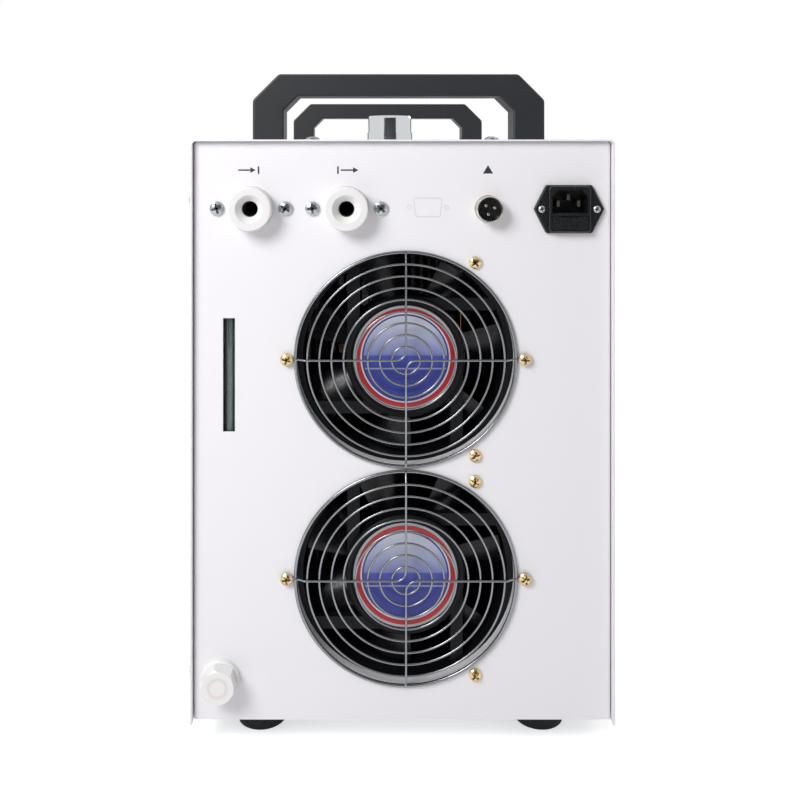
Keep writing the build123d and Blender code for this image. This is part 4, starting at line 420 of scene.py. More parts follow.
label, tree, shader = start_material("printed_foil_label", "#8C93D8", Roughness=0.3)
place = add_node(tree, "ShaderNodeTexCoord")
axes = add_node(tree, "ShaderNodeSeparateXYZ", {"Vector": place.outputs["Object"]})
across = add_node(tree, "ShaderNodeMath", {0: axes.outputs["X"], 1: FAN_X * MM},
                  operation="SUBTRACT")
middle = FAN_Z["lower"] * MM
height = add_node(tree, "ShaderNodeMath",
                  {0: axes.outputs["Z"], 1: middle + FAN_PITCH * MM / 2, 2: middle - FAN_PITCH * MM / 2},
                  operation="WRAP")
up = add_node(tree, "ShaderNodeMath", {0: height.outputs[0], 1: middle}, operation="SUBTRACT")
flat = add_node(tree, "ShaderNodeCombineXYZ", {"X": across.outputs[0], "Y": up.outputs[0]})
reach = add_node(tree, "ShaderNodeVectorMath", {0: flat.outputs[0]}, operation="LENGTH")
share = add_node(tree, "ShaderNodeMath", {0: reach.outputs["Value"], 1: LABEL_R * MM},
                 operation="DIVIDE")
rings = add_node(tree, "ShaderNodeValToRGB", {"Fac": share.outputs[0]})
rings.color_ramp.interpolation = "CONSTANT"
fill_ramp(rings, RING_STOPS)
halves = add_node(tree, "ShaderNodeMapRange",
                  {"Value": up.outputs[0], "From Min": -LABEL_R * MM, "From Max": LABEL_R * MM})
field = add_node(tree, "ShaderNodeValToRGB", {"Fac": halves.outputs["Result"]})
fill_ramp(field, FIELD_STOPS)
inside = add_node(tree, "ShaderNodeMath", {0: share.outputs[0], 1: FIELD_EDGE},
                  operation="LESS_THAN")
label_colour_mix = add_node(tree, "ShaderNodeMix", {"Factor": inside.outputs[0]}, data_type="RGBA")
tree.links.new(rings.outputs["Color"], label_colour_mix.inputs["A"])
tree.links.new(field.outputs["Color"], label_colour_mix.inputs["B"])
tree.links.new(label_colour_mix.outputs["Result"], shader.inputs["Base Color"])
dress(label, "fan_labels")
print("label rings at", [round(position * LABEL_R, 1) for position, _ in RING_STOPS], "mm")

# %% [markdown]
# ## Building with Geometry Nodes
#
# The next pieces repeat one thing many times, so each is a small node tree with its sizes as
# named inputs. A tree ends in Realize Instances and Set Material, and the result is turned into
# a plain mesh that rides on its body and stands in for the CAD node.

# %% Helpers for node trees
def start_tree(name, sizes):
    """A geometry tree with one float input for each size, and a material input."""
    tree = bpy.data.node_groups.new(name, "GeometryNodeTree")
    tree.interface.new_socket("Geometry", in_out="INPUT", socket_type="NodeSocketGeometry")
    for size in sizes:
        tree.interface.new_socket(size, in_out="INPUT", socket_type="NodeSocketFloat")
    tree.interface.new_socket("Material", in_out="INPUT", socket_type="NodeSocketMaterial")
    tree.interface.new_socket("Geometry", in_out="OUTPUT", socket_type="NodeSocketGeometry")
    return tree, add_node(tree, "NodeGroupInput").outputs


def end_tree(tree, geometry, given, smooth_angle=35):
    """Closes a tree: plain mesh, smooth where it is round, in the given material."""
    real = add_node(tree, "GeometryNodeRealizeInstances", {"Geometry": geometry})
    painted = add_node(tree, "GeometryNodeSetMaterial",
                       {"Geometry": real.outputs["Geometry"], "Material": given["Material"]})
    angle = add_node(tree, "GeometryNodeInputMeshEdgeAngle")
    soft = add_node(tree, "FunctionNodeCompare",
                    {"A": angle.outputs["Unsigned Angle"], "B": radians(smooth_angle)},
                    data_type="FLOAT", operation="LESS_THAN")
    smooth = add_node(tree, "GeometryNodeSetShadeSmooth",
                      {"Geometry": painted.outputs["Geometry"], "Shade Smooth": soft.outputs["Result"]},
                      domain="EDGE")
    faces = add_node(tree, "GeometryNodeSetShadeSmooth", {"Geometry": smooth.outputs["Geometry"]},
                     domain="FACE")
    add_node(tree, "NodeGroupOutput", {"Geometry": faces.outputs["Geometry"]})


def grow(name, mesh, tree, sizes, material):
    """Runs a tree on a mesh and keeps what it makes as a plain mesh object."""
    seed = bpy.data.objects.new(name + "_seed", mesh)
    scene.collection.objects.link(seed)
    modifier = seed.modifiers.new("build", "NODES")
    modifier.node_group = tree
    for item in tree.interface.items_tree:
        if item.in_out == "INPUT" and item.name in sizes:
            modifier[item.identifier] = float(sizes[item.name])
        if item.in_out == "INPUT" and item.name == "Material":
            modifier[item.identifier] = material
    bpy.context.view_layer.update()
    evaluated = seed.evaluated_get(bpy.context.evaluated_depsgraph_get())
    piece = bpy.data.objects.new(name, bpy.data.meshes.new_from_object(evaluated))
    bpy.data.objects.remove(seed)
    scene.collection.objects.link(piece)
    print(name, "faces:", len(piece.data.polygons))
    return piece


# %% [markdown]
# ## The wire guards
#
# A finger guard is made of drawn steel wire: rings of growing size, spot welded under two wires
# that cross at the middle, then plated. The rings follow a rule, so the tree makes a row of
# points, gives each one a circle that grows with its index, and sweeps a round wire along it.
# The two bent wires are the seed mesh's edges, rounded by Fillet Curve and swept the same way.
# The plating is bright but not polished, so each wire is grey with one thin highlight along it.

# %% Plated wire
wire, tree, shader = start_material("plated_steel_wire", "#85878B", Metallic=1.0, Roughness=0.2)
drawn = add_grain(tree, shader, 0.9, 0.008)
vary(tree, shader, "Roughness", drawn.outputs["Fac"], 0.15, 0.28)

# %% The guard's tree
GUARD = {"First Radius": 9.3, "Step": 8.0125, "Inner Rings": 8, "Widen": 1.03, "Wire Radius": 0.75,
         "Rim Wire Radius": 1.2, "Stand": 4.2}
RING_SIDES, WIRE_SIDES, RIM_WIRE_SIDES, BEND_STEPS = 96, 10, 12, 8
tree, given = start_tree("wire_guard", list(GUARD) + ["Centre X", "Centre Y", "Centre Z"])


def swept(curve, radius, sides=WIRE_SIDES):
    """A round wire along a curve."""
    section = add_node(tree, "GeometryNodeCurvePrimitiveCircle",
                       {"Resolution": sides, "Radius": radius})
    along = add_node(tree, "GeometryNodeCurveToMesh",
                     {"Curve": curve, "Profile Curve": section.outputs["Curve"], "Fill Caps": True})
    return along.outputs["Mesh"]


last_step = add_node(tree, "ShaderNodeMath", {0: given["Step"], 1: given["Inner Rings"]},
                     operation="MULTIPLY")
rim_radius = add_node(tree, "ShaderNodeMath", {0: last_step.outputs[0], 1: given["First Radius"]},
                      operation="ADD")
circle = add_node(tree, "GeometryNodeCurvePrimitiveCircle", {"Resolution": RING_SIDES, "Radius": 1.0})
row = add_node(tree, "GeometryNodeMeshLine", {"Offset": (0, 0, 0)})
tree.links.new(given["Inner Rings"], row.inputs["Count"])
index = add_node(tree, "GeometryNodeInputIndex")
grown = add_node(tree, "ShaderNodeMath",
                 {0: index.outputs["Index"], 1: given["Step"], 2: given["First Radius"]},
                 operation="MULTIPLY_ADD")
wide = add_node(tree, "ShaderNodeMath", {0: grown.outputs[0], 1: given["Widen"]},
                operation="MULTIPLY")
size = add_node(tree, "ShaderNodeCombineXYZ", {"X": wide.outputs[0], "Y": grown.outputs[0], "Z": 1.0})
circles = add_node(tree, "GeometryNodeInstanceOnPoints",
                   {"Points": row.outputs["Mesh"], "Instance": circle.outputs["Curve"],
                    "Scale": size.outputs[0]})
circles = add_node(tree, "GeometryNodeRealizeInstances", {"Geometry": circles.outputs["Instances"]})
lift = add_node(tree, "ShaderNodeCombineXYZ", {"Z": given["Stand"]})
ring_mesh = swept(circles.outputs["Geometry"], given["Wire Radius"])
ring_mesh = add_node(tree, "GeometryNodeTransform",
                     {"Geometry": ring_mesh, "Translation": lift.outputs[0]})

rim_wide = add_node(tree, "ShaderNodeMath", {0: rim_radius.outputs[0], 1: given["Widen"]},
                    operation="MULTIPLY")
rim_size = add_node(tree, "ShaderNodeCombineXYZ",
                    {"X": rim_wide.outputs[0], "Y": rim_radius.outputs[0], "Z": 1.0})
rim = add_node(tree, "GeometryNodeTransform",
               {"Geometry": circle.outputs["Curve"], "Scale": rim_size.outputs[0]})
rim_lift = add_node(tree, "ShaderNodeCombineXYZ", {"Z": given["Rim Wire Radius"]})
rim_mesh = swept(rim.outputs["Geometry"], given["Rim Wire Radius"], RIM_WIRE_SIDES)
rim_mesh = add_node(tree, "GeometryNodeTransform",
                    {"Geometry": rim_mesh, "Translation": rim_lift.outputs[0]})

spokes = add_node(tree, "GeometryNodeMeshToCurve", {"Mesh": given["Geometry"]})
bend = add_node(tree, "GeometryNodeInputNamedAttribute", {"Name": "bend"}, data_type="FLOAT")
rounded = add_node(tree, "GeometryNodeFilletCurve",
                   {"Curve": spokes.outputs["Curve"], "Count": BEND_STEPS,
                    "Radius": bend.outputs["Attribute"], "Limit Radius": True}, mode="POLY")
spoke_mesh = swept(rounded.outputs["Curve"], given["Wire Radius"])

joined = add_node(tree, "GeometryNodeJoinGeometry")
for part in (ring_mesh.outputs["Geometry"], rim_mesh.outputs["Geometry"], spoke_mesh):
    tree.links.new(part, joined.inputs["Geometry"])
centre = add_node(tree, "ShaderNodeCombineXYZ",
                  {"X": given["Centre X"], "Y": given["Centre Y"], "Z": given["Centre Z"]})
turned = add_node(tree, "GeometryNodeTransform",
                  {"Geometry": joined.outputs["Geometry"], "Translation": centre.outputs[0],
                   "Rotation": (radians(90), 0, 0)})
metres = add_node(tree, "GeometryNodeTransform",
                  {"Geometry": turned.outputs["Geometry"], "Scale": (MM, MM, MM)})
end_tree(tree, metres.outputs["Geometry"], given, smooth_angle=60)

# %% Bend the spokes and grow both guards
WELD = 0.35
FAN_HOLE_R = 81.6
EYE_R = 2.85
EYE_SIDES = 16
SPOKE_BEND_R = 7.0


def spoke_mesh_data():
    """Edges along both bent wires and around the two eyelets, with a bend radius at each corner."""
    w = GUARD["Wire Radius"]
    tall = GUARD["First Radius"] + GUARD["Step"] * GUARD["Inner Rings"]
    wide = tall * GUARD["Widen"]
    near = tall - GUARD["Step"] + 2 * w
    top = GUARD["Stand"] + 2 * w - WELD
    low = 2 * GUARD["Rim Wire Radius"] + w - WELD
    bent = [((0, tall, low), 0), ((0, tall - GUARD["Step"] / 3, low), w), ((0, near, top), w),
            ((0, 0, top), SPOKE_BEND_R), ((-near * GUARD["Widen"], 0, top), w),
            ((-wide + GUARD["Step"] / 3, 0, low), w), ((-wide, 0, low), 0)]
    stub = [((-wide, 0, w), 0), ((-FAN_HOLE_R + EYE_R, 0, w), 0)]
    turns = [2 * pi * k / EYE_SIDES for k in range(EYE_SIDES + 1)]
    eye = [((-FAN_HOLE_R + EYE_R * cos(a), EYE_R * sin(a), w), 0) for a in turns]
    points, edges, bends = [], [], []
    for sign in (1, -1):
        for run in (bent, stub, eye):
            start = len(points)
            points += [(sign * x, sign * y, z) for (x, y, z), _ in run]
            bends += [bend for _, bend in run]
            edges += [(start + k, start + k + 1) for k in range(len(run) - 1)]
    mesh = bpy.data.meshes.new("spokes")
    mesh.from_pydata(points, edges, [])
    mesh.attributes.new("bend", "FLOAT", "POINT").data.foreach_set("value", bends)
    return mesh


for level, z in FAN_Z.items():
    sizes = dict(GUARD, **{"Centre X": FAN_X, "Centre Y": PANEL_Y, "Centre Z": z})
    guard = grow(level + "_wire_guard", spoke_mesh_data(), tree, sizes, wire)
    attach(guard, "chassis")
    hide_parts(level + "_fan_guard")

# %% [markdown]
# ## The screws
#
# Four kinds of small cross-recessed screw show: yellow zinc ones for the fans, plain zinc ones
# for the casing and the water fittings, and tiny ones beside the mains inlet. One tree makes
# them all: a cylinder whose top is lifted into a dome, less a cross, on every point of the
# seed mesh, turned to the direction that the point carries.

# %% The screw's tree
SCREW_SIZES = ["Head Radius", "Head Height", "Shank Radius", "Shank Length"]
HEAD_SIDES, HEAD_RINGS, SHANK_SIDES = 28, 5, 12
RIM_SHARE, DOME_SHARE, DOME_POWER = 0.45, 0.55, 2.4
CROSS_LENGTH, CROSS_WIDTH, CROSS_DEPTH = 1.45, 0.34, 1.3
tree, given = start_tree("cross_recessed_screw", SCREW_SIZES)

rim_height = add_node(tree, "ShaderNodeMath", {0: given["Head Height"], 1: RIM_SHARE},
                      operation="MULTIPLY")
head = add_node(tree, "GeometryNodeMeshCylinder",
                {"Vertices": HEAD_SIDES, "Fill Segments": HEAD_RINGS, "Radius": given["Head Radius"],
                 "Depth": rim_height.outputs[0]}, fill_type="TRIANGLE_FAN")
spot = add_node(tree, "GeometryNodeInputPosition")
spot_axes = add_node(tree, "ShaderNodeSeparateXYZ", {"Vector": spot.outputs["Position"]})
outwards = add_node(tree, "ShaderNodeCombineXYZ",
                    {"X": spot_axes.outputs["X"], "Y": spot_axes.outputs["Y"]})
distance = add_node(tree, "ShaderNodeVectorMath", {0: outwards.outputs[0]}, operation="LENGTH")
ratio = add_node(tree, "ShaderNodeMath", {0: distance.outputs["Value"], 1: given["Head Radius"]},
                 operation="DIVIDE")
steep = add_node(tree, "ShaderNodeMath", {0: ratio.outputs[0], 1: DOME_POWER}, operation="POWER")
fall = add_node(tree, "ShaderNodeMath", {0: 1.0, 1: steep.outputs[0]}, operation="SUBTRACT")
crown = add_node(tree, "ShaderNodeMath", {0: given["Head Height"], 1: DOME_SHARE},
                 operation="MULTIPLY")
dome = add_node(tree, "ShaderNodeMath", {0: crown.outputs[0], 1: fall.outputs[0]},
                operation="MULTIPLY")
is_top = add_node(tree, "FunctionNodeCompare", {"A": spot_axes.outputs["Z"], "B": 0.0},
                  data_type="FLOAT", operation="GREATER_THAN")
dome_up = add_node(tree, "ShaderNodeCombineXYZ", {"Z": dome.outputs[0]})
domed = add_node(tree, "GeometryNodeSetPosition",
                 {"Geometry": head.outputs["Mesh"], "Offset": dome_up.outputs[0],
                  "Selection": is_top.outputs["Result"]})
half_height = add_node(tree, "ShaderNodeMath", {0: rim_height.outputs[0], 1: 0.5},
                       operation="MULTIPLY")
half_rim = add_node(tree, "ShaderNodeCombineXYZ", {"Z": half_height.outputs[0]})
seated = add_node(tree, "GeometryNodeTransform",
                  {"Geometry": domed.outputs["Geometry"], "Translation": half_rim.outputs[0]})

long = add_node(tree, "ShaderNodeMath", {0: given["Head Radius"], 1: CROSS_LENGTH},
                operation="MULTIPLY")
narrow = add_node(tree, "ShaderNodeMath", {0: given["Head Radius"], 1: CROSS_WIDTH},
                  operation="MULTIPLY")
deep = add_node(tree, "ShaderNodeMath", {0: given["Head Height"], 1: CROSS_DEPTH},
                operation="MULTIPLY")
bar_size = add_node(tree, "ShaderNodeCombineXYZ",
                    {"X": long.outputs[0], "Y": narrow.outputs[0], "Z": deep.outputs[0]})
bar = add_node(tree, "GeometryNodeMeshCube", {"Size": bar_size.outputs[0]})
crossed = add_node(tree, "GeometryNodeTransform",
                   {"Geometry": bar.outputs["Mesh"], "Rotation": (0, 0, radians(90))})
bar_up = add_node(tree, "ShaderNodeCombineXYZ", {"Z": given["Head Height"]})
cut = add_node(tree, "GeometryNodeMeshBoolean", {"Mesh 1": seated.outputs["Geometry"]},
               operation="DIFFERENCE")
for part in (bar.outputs["Mesh"], crossed.outputs["Geometry"]):
    cutter = add_node(tree, "GeometryNodeTransform",
                      {"Geometry": part, "Translation": bar_up.outputs[0]})
    tree.links.new(cutter.outputs["Geometry"], cut.inputs["Mesh 2"])

shank = add_node(tree, "GeometryNodeMeshCylinder",
                 {"Vertices": SHANK_SIDES, "Radius": given["Shank Radius"],
                  "Depth": given["Shank Length"]})
half_down = add_node(tree, "ShaderNodeMath", {0: given["Shank Length"], 1: -0.5},
                     operation="MULTIPLY")
shank_down = add_node(tree, "ShaderNodeCombineXYZ", {"Z": half_down.outputs[0]})
shank_at = add_node(tree, "GeometryNodeTransform",
                    {"Geometry": shank.outputs["Mesh"], "Translation": shank_down.outputs[0]})
whole = add_node(tree, "GeometryNodeJoinGeometry")
for part in (cut.outputs["Mesh"], shank_at.outputs["Geometry"]):
    tree.links.new(part, whole.inputs["Geometry"])

axis = add_node(tree, "GeometryNodeInputNamedAttribute", {"Name": "axis"}, data_type="FLOAT_VECTOR")
turn = add_node(tree, "GeometryNodeInputNamedAttribute", {"Name": "turn"}, data_type="FLOAT")
aimed = add_node(tree, "FunctionNodeAlignRotationToVector", {"Vector": axis.outputs["Attribute"]},
                 axis="Z")
twist = add_node(tree, "FunctionNodeAxisAngleToRotation",
                 {"Axis": (0, 0, 1), "Angle": turn.outputs["Attribute"]})
aimed = add_node(tree, "FunctionNodeRotateRotation",
                 {"Rotation": aimed.outputs["Rotation"], "Rotate By": twist.outputs["Rotation"]},
                 rotation_space="LOCAL")
placed = add_node(tree, "GeometryNodeInstanceOnPoints",
                  {"Points": given["Geometry"], "Instance": whole.outputs["Geometry"],
                   "Rotation": aimed.outputs["Rotation"]})
real = add_node(tree, "GeometryNodeRealizeInstances", {"Geometry": placed.outputs["Instances"]})
metres = add_node(tree, "GeometryNodeTransform",
                  {"Geometry": real.outputs["Geometry"], "Scale": (MM, MM, MM)})
end_tree(tree, metres.outputs["Geometry"], given)
screw_tree = tree

# %% [markdown]
# Yellow zinc is a passivated plating: the same grey zinc under a film that shows straw, green and
# pink where its thickness changes. Noise about 4 mm wide moves the colour between them.

# %% Screw finishes
yellow_zinc, tree, shader = start_material("yellow_passivated_zinc", "#C8B77C", Metallic=1.0,
                                           Roughness=0.24)
film = add_grain(tree, shader, 3.5, 0.01, detail=1.0)
film_colours = add_node(tree, "ShaderNodeValToRGB", {"Fac": film.outputs["Fac"]})
fill_ramp(film_colours, [(0.36, "#B9B48A"), (0.47, "#D2BF7C"), (0.55, "#CDAF86"), (0.64, "#C9A9A0")])
tree.links.new(film_colours.outputs["Color"], shader.inputs["Base Color"])

# %% Place the screws
FAN_SCREW = (4.25, 3.3, 2.0, 8.5)
PORT_SCREW = (4.85, 3.0, 2.0, 7.0)
CASING_SCREW = (4.8, 2.4, 1.9, 7.0)
INLET_SCREW = (2.4, 1.5, 1.4, 6.0)
OUT = (0, -1, 0)
FAN_SCREW_ANGLES = (0.0, 54.3, 180.0, 305.7)
EYELET_ANGLES = (0.0, 180.0)
PORT_SCREW_X = 23.5
BODY_HALF_W = 145.0
ROOF_Z = 418.5
SCREW_Y = (-261.0, 269.0)
SIDE_SCREW_Z = (52.0, 376.5)
TOP_SCREW_X = 62.0
INLET_X, INLET_Z, INLET_SCREW_X, INLET_FLANGE = 114.0, 370.9, 18.8, 3.0
FIRST_TURN, TURN_STEP, TURN_SPAN = 17, 40, 90


def scatter(name, spots, sizes, material, node):
    """Grows one kind of screw on a list of (place, direction) pairs, each turned differently."""
    mesh = bpy.data.meshes.new(name)
    mesh.from_pydata([spot for spot, _ in spots], [], [])
    axes = mesh.attributes.new("axis", "FLOAT_VECTOR", "POINT")
    axes.data.foreach_set("vector", [v for _, direction in spots for v in direction])
    turns = mesh.attributes.new("turn", "FLOAT", "POINT")
    angles = [FIRST_TURN + TURN_STEP * k % TURN_SPAN for k in range(len(spots))]
    turns.data.foreach_set("value", [radians(angle) for angle in angles])
    piece = grow(name, mesh, screw_tree, dict(zip(SCREW_SIZES, sizes)), material)
    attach(piece, "chassis")
    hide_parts(node)


fan_spots = []
for z in FAN_Z.values():
    for angle in FAN_SCREW_ANGLES:
        lift = 2 * GUARD["Wire Radius"] if angle in EYELET_ANGLES else 0.0
        fan_spots.append(((FAN_X + FAN_HOLE_R * cos(radians(angle)), PANEL_Y - lift,
                           z + FAN_HOLE_R * sin(radians(angle))), OUT))
scatter("yellow_fan_screws", fan_spots, FAN_SCREW, yellow_zinc, "fan_screws")

port_spots = [((x + side * PORT_SCREW_X, PANEL_Y, PANEL_ROW_Z), OUT)
              for x in PORT_X.values() for side in (-1, 1)]
scatter("port_screws", port_spots, PORT_SCREW, steel, "fitting_screws")

side_spots = [((side * BODY_HALF_W, y, z), (side, 0, 0))
              for y in SCREW_Y for side in (-1, 1) for z in SIDE_SCREW_Z]
top_spots = [((side * TOP_SCREW_X, y, ROOF_Z), (0, 0, 1)) for y in SCREW_Y for side in (-1, 1)]
scatter("casing_screws", side_spots + top_spots, CASING_SCREW, steel, "cover_screws")

inlet_spots = [((INLET_X + side * INLET_SCREW_X, PANEL_Y - INLET_FLANGE, INLET_Z), OUT)
               for side in (-1, 1)]
scatter("mains_inlet_screws", inlet_spots, INLET_SCREW, steel, "inlet_screws")

# %% [markdown]
# ## Printed marks
#
# Each port has a small dark mark above it, screen printed on the powder coat: an arrow to a bar
# for water in, a bar and an arrow for water out, and a triangle for the alarm. Ink lies about
# 0.05 mm thick, so each mark is a flat outline with that thickness. The fuse drawer's sign, a
# box with a line through it, is moulded 0.2 mm proud in the same way. The faint outline of a port
# that this version leaves closed is a groove in the panel, with a pale grey layer on the groove's
# floor that is painted shade, darkening the groove.

# %% Flat marks from outlines
def raised_marks(name, outlines, base_y, thickness, material, body):
    """Closed flat solids from outlines of (x, z) points in millimetres, standing out towards -Y.

    Each outline runs counterclockwise as one sees it, so that all its faces point outwards.
    """
    points, faces = [], []
    for outline in outlines:
        start, count = len(points), len(outline)
        for y in (base_y, base_y - thickness):
            points += [(x * MM, y * MM, z * MM) for x, z in outline]
        back = list(range(start, start + count))
        front = list(range(start + count, start + 2 * count))
        faces += [front, back[::-1]]
        faces += [(back[k - 1], back[k], front[k], front[k - 1]) for k in range(count)]
    mesh = bpy.data.meshes.new(name)
    mesh.from_pydata(points, [], faces)
    mesh.materials.append(material)
    piece = bpy.data.objects.new(name, mesh)
    scene.collection.objects.link(piece)
    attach(piece, body)
    print(name, "outlines:", len(outlines))


def strip(x, z, width, tall):
    left, right, low, high = x - width / 2, x + width / 2, z - tall / 2, z + tall / 2
    return [(left, low), (right, low), (right, high), (left, high)]


def arrow(x, z, length, shaft=0.5, head=2.0):
    """An arrow to the right: a shaft and a head in one outline."""
    tail, neck, tip = x - length / 2, x + length / 5, x + length / 2
    below = [(tail, z - shaft), (neck, z - shaft), (neck, z - head)]
    above = [(neck, z + head), (neck, z + shaft), (tail, z + shaft)]
    return below + [(tip, z)] + above


# %% Print the marks
MARK_Z = 397.6
ARROW_L = 12
BAR = (1.1, 5.2)
ALARM_X, TRIANGLE_HALF, TRIANGLE_FOOT, TRIANGLE_TOP = 58.8, 3.5, 2.4, 3.4
INK_T = 0.05

ink, tree, shader = start_material("screen_printed_ink", "#2B2C30", Roughness=0.55)
add_grain(tree, shader, 0.4, 0.01)
water_in = [arrow(PORT_X["inlet"] - 3.0, MARK_Z, ARROW_L), strip(PORT_X["inlet"] + 5.0, MARK_Z, *BAR)]
water_out = [strip(PORT_X["outlet"] - 6.0, MARK_Z, *BAR), arrow(PORT_X["outlet"] + 2.0, MARK_Z, ARROW_L)]
triangle = [(ALARM_X - TRIANGLE_HALF, MARK_Z - TRIANGLE_FOOT),
            (ALARM_X + TRIANGLE_HALF, MARK_Z - TRIANGLE_FOOT), (ALARM_X, MARK_Z + TRIANGLE_TOP)]
marks = water_in + water_out + [triangle]
raised_marks("printed_port_marks", marks, PANEL_Y, INK_T, ink, "chassis")

# %% The closed port's outline
BLANK_X, BLANK_Z, BLANK_TOP, BLANK_FOOT, BLANK_TALL, LINE = 17.7, 372.0, 20.0, 16.4, 12.8, 0.5
HOLE_X, HOLE_R, GROOVE_DEPTH, GROOVE_SHADE_T = 12.8, 1.4, 0.3, 0.2

# The pale grey layer is painted shade: it darkens the groove's floor as the groove's own shade would.
groove_shade_paint, tree, shader = start_material("pale_grey_ink", "#DCDADF", Roughness=0.5)
add_grain(tree, shader, 0.4, 0.01)


def slanted(side):
    """One slanting side of the outline, as a thin closed shape."""
    top, foot = BLANK_X + side * BLANK_TOP / 2, BLANK_X + side * BLANK_FOOT / 2
    high, low = BLANK_Z + BLANK_TALL / 2, BLANK_Z - BLANK_TALL / 2
    return [(foot - LINE / 2, low), (foot + LINE / 2, low), (top + LINE / 2, high), (top - LINE / 2, high)]


def half_ring(side, half):
    """Half of a small ring beside the outline. Two halves make a ring without a hole to fill."""
    middle_x, inside, outside = BLANK_X + side * HOLE_X, HOLE_R - LINE / 2, HOLE_R + LINE / 2
    turns = [radians(half * 90 + 15 * k - 90) for k in range(13)]
    outer = [(middle_x + outside * cos(a), BLANK_Z + outside * sin(a)) for a in turns]
    inner = [(middle_x + inside * cos(a), BLANK_Z + inside * sin(a)) for a in reversed(turns)]
    return outer + inner


blank = [half_ring(side, half) for side in (-1, 1) for half in (0, 2)]
blank += [strip(BLANK_X, BLANK_Z + BLANK_TALL / 2, BLANK_TOP, LINE),
          strip(BLANK_X, BLANK_Z - BLANK_TALL / 2, BLANK_FOOT, LINE), slanted(-1), slanted(1)]
raised_marks("printed_blank_outline", blank, PANEL_Y + GROOVE_DEPTH, GROOVE_SHADE_T, groove_shade_paint, "chassis")

# %% The sign on the fuse drawer
SIGN_Z = 361.0
DRAWER_PROUD = 5.6
SIGN_T, SIGN_LINE, SIGN_BOX_W, SIGN_BOX_H, SIGN_WIRE = 0.2, 0.5, 9, 3, 14
END_X = (SIGN_BOX_W - SIGN_LINE) / 2
sign = [strip(INLET_X, SIGN_Z + side * SIGN_BOX_H / 2, SIGN_BOX_W, SIGN_LINE) for side in (1, -1)]
sign += [strip(INLET_X + side * END_X, SIGN_Z, SIGN_LINE, SIGN_BOX_H + SIGN_LINE) for side in (-1, 1)]
sign.append(strip(INLET_X, SIGN_Z, SIGN_WIRE, SIGN_LINE))
raised_marks("moulded_fuse_sign", sign, PANEL_Y - DRAWER_PROUD, SIGN_T, polycarbonate, "fuse_tray")

# %% [markdown]
# ## Floor, backdrop and lamps
#
# The backdrop is pure white to the eye only: the world answers camera, mirror and glass rays with
# white, and everything else with a soft grey. The floor does the same, but it keeps the shadow
# that falls on it, and it fades to pure white further out. One large soft lamp stands to the upper
# left, so small things throw short shadows to the right and down, and a second one lights the far
# side.

# %% White to the camera only
ROOM_LIGHT = 0.35


def seen_directly(tree):
    """1 for rays from the camera, from mirrors and through glass, and 0 for the rest."""
    path = add_node(tree, "ShaderNodeLightPath")
    either = add_node(tree, "ShaderNodeMath",
                      {0: path.outputs["Is Camera Ray"], 1: path.outputs["Is Glossy Ray"]},
                      operation="MAXIMUM")
    any_kind = add_node(tree, "ShaderNodeMath",
                        {0: either.outputs[0], 1: path.outputs["Is Transmission Ray"]},
                        operation="MAXIMUM")
    return any_kind.outputs[0]


world = bpy.data.worlds.new("studio")
world.use_nodes = True
tree = world.node_tree
tree.nodes.clear()
room = add_node(tree, "ShaderNodeBackground", {"Color": (1, 1, 1, 1), "Strength": ROOM_LIGHT})
white = add_node(tree, "ShaderNodeBackground", {"Color": (1, 1, 1, 1), "Strength": 1.0})
choice = add_node(tree, "ShaderNodeMixShader",
                  {0: seen_directly(tree), 1: room.outputs[0], 2: white.outputs[0]})
add_node(tree, "ShaderNodeOutputWorld", {"Surface": choice.outputs[0]})
scene.world = world

# %% The floor
FLOOR_HALF = 4.0
NEAR_FLOOR, FAR_FLOOR = 0.5, 1.4
NEAR_GLOW, FAR_GLOW = 0.55, 1.0

floor_mesh = bpy.data.meshes.new("studio_floor")
floor_mesh.from_pydata([(-FLOOR_HALF, -FLOOR_HALF, 0), (FLOOR_HALF, -FLOOR_HALF, 0),
                        (FLOOR_HALF, FLOOR_HALF, 0), (-FLOOR_HALF, FLOOR_HALF, 0)], [], [(0, 1, 2, 3)])
floor = bpy.data.objects.new("studio_floor", floor_mesh)
scene.collection.objects.link(floor)
floor_paint, tree, shader = start_material("matt_studio_floor", "#F4F4F5", Roughness=0.9)
output = tree.nodes["Material Output"]
place = add_node(tree, "ShaderNodeTexCoord")
away = add_node(tree, "ShaderNodeVectorMath", {0: place.outputs["Object"]}, operation="LENGTH")
fade = add_node(tree, "ShaderNodeMapRange",
                {"Value": away.outputs["Value"], "From Min": NEAR_FLOOR, "From Max": FAR_FLOOR,
                 "To Min": NEAR_GLOW, "To Max": FAR_GLOW})
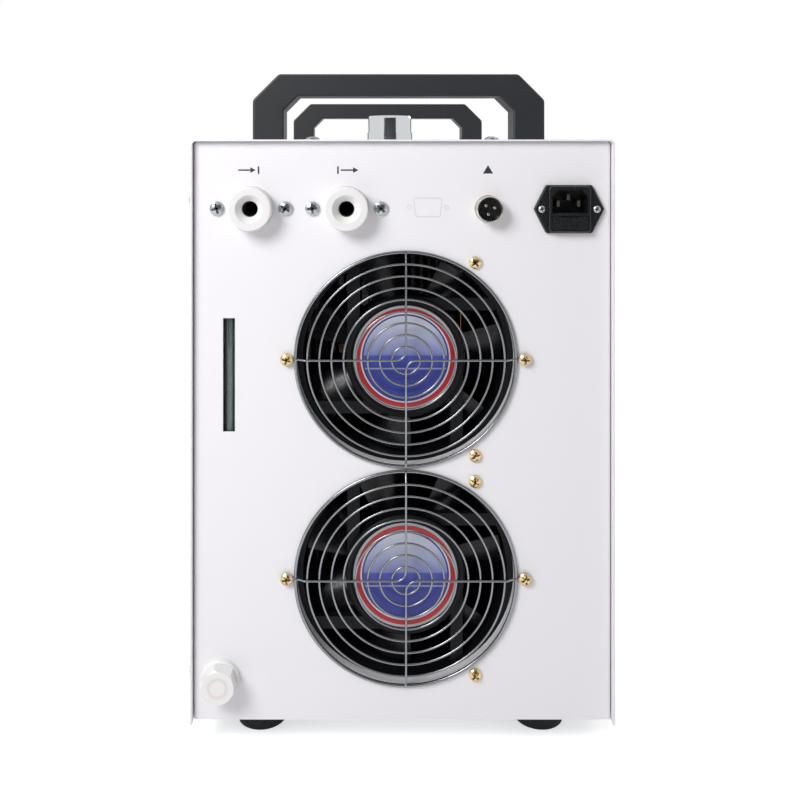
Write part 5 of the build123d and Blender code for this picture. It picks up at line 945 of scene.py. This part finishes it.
glow = add_node(tree, "ShaderNodeEmission", {"Color": (1, 1, 1, 1), "Strength": fade.outputs["Result"]})
both = add_node(tree, "ShaderNodeAddShader", {0: shader.outputs[0], 1: glow.outputs[0]})
lit = add_node(tree, "ShaderNodeMixShader",
               {0: seen_directly(tree), 1: shader.outputs[0], 2: both.outputs[0]})
tree.links.new(lit.outputs[0], output.inputs["Surface"])
floor_mesh.materials.append(floor_paint)

# %% [markdown]
# Metal takes its look from what it mirrors. In the studio a dim wall stands behind the camera, so
# wires and screws are dark along the middle and bright along their edges. Only mirror rays meet
# the wall: it hides nothing from the camera and takes no light from the panel.

# %% The wall behind the camera
WALL_Y, WALL_HALF, WALL_TOP = -1.5, 0.95, 1.5

wall_mesh = bpy.data.meshes.new("studio_wall")
wall_mesh.from_pydata([(-WALL_HALF, WALL_Y, 0), (WALL_HALF, WALL_Y, 0), (WALL_HALF, WALL_Y, WALL_TOP),
                       (-WALL_HALF, WALL_Y, WALL_TOP)], [], [(0, 1, 2, 3)])
wall = bpy.data.objects.new("studio_wall", wall_mesh)
scene.collection.objects.link(wall)
wall_paint, tree, shader = start_material("dim_studio_wall", "#4A4C50", Roughness=0.9)
wall_mesh.materials.append(wall_paint)
for ray in ("camera", "diffuse", "shadow", "transmission"):
    setattr(wall, "visible_" + ray, False)

# %% The lamps
def add_lamp(name, place, target, size, power):
    """A square soft lamp that looks at a point. Places are in millimetres."""
    light = bpy.data.lights.new(name, "AREA")
    light.size = size * MM
    light.energy = power
    lamp = bpy.data.objects.new(name, light)
    lamp.location = Vector(place) * MM
    aim = (Vector(target) - Vector(place)).to_track_quat("-Z", "Y")
    lamp.rotation_euler = aim.to_euler()
    scene.collection.objects.link(lamp)


add_lamp("key_softbox", (-700, -1000, 950), (0, -260, 240), size=520, power=12.4)
add_lamp("back_softbox", (700, 1500, 1300), (0, 100, 300), size=900, power=12)
scene.view_settings.view_transform = "Standard"

# %% List the dressed and replaced nodes
bare = sorted(set(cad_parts) - set(finishes))
print("nodes dressed:", len(finishes), "replaced:", bare)
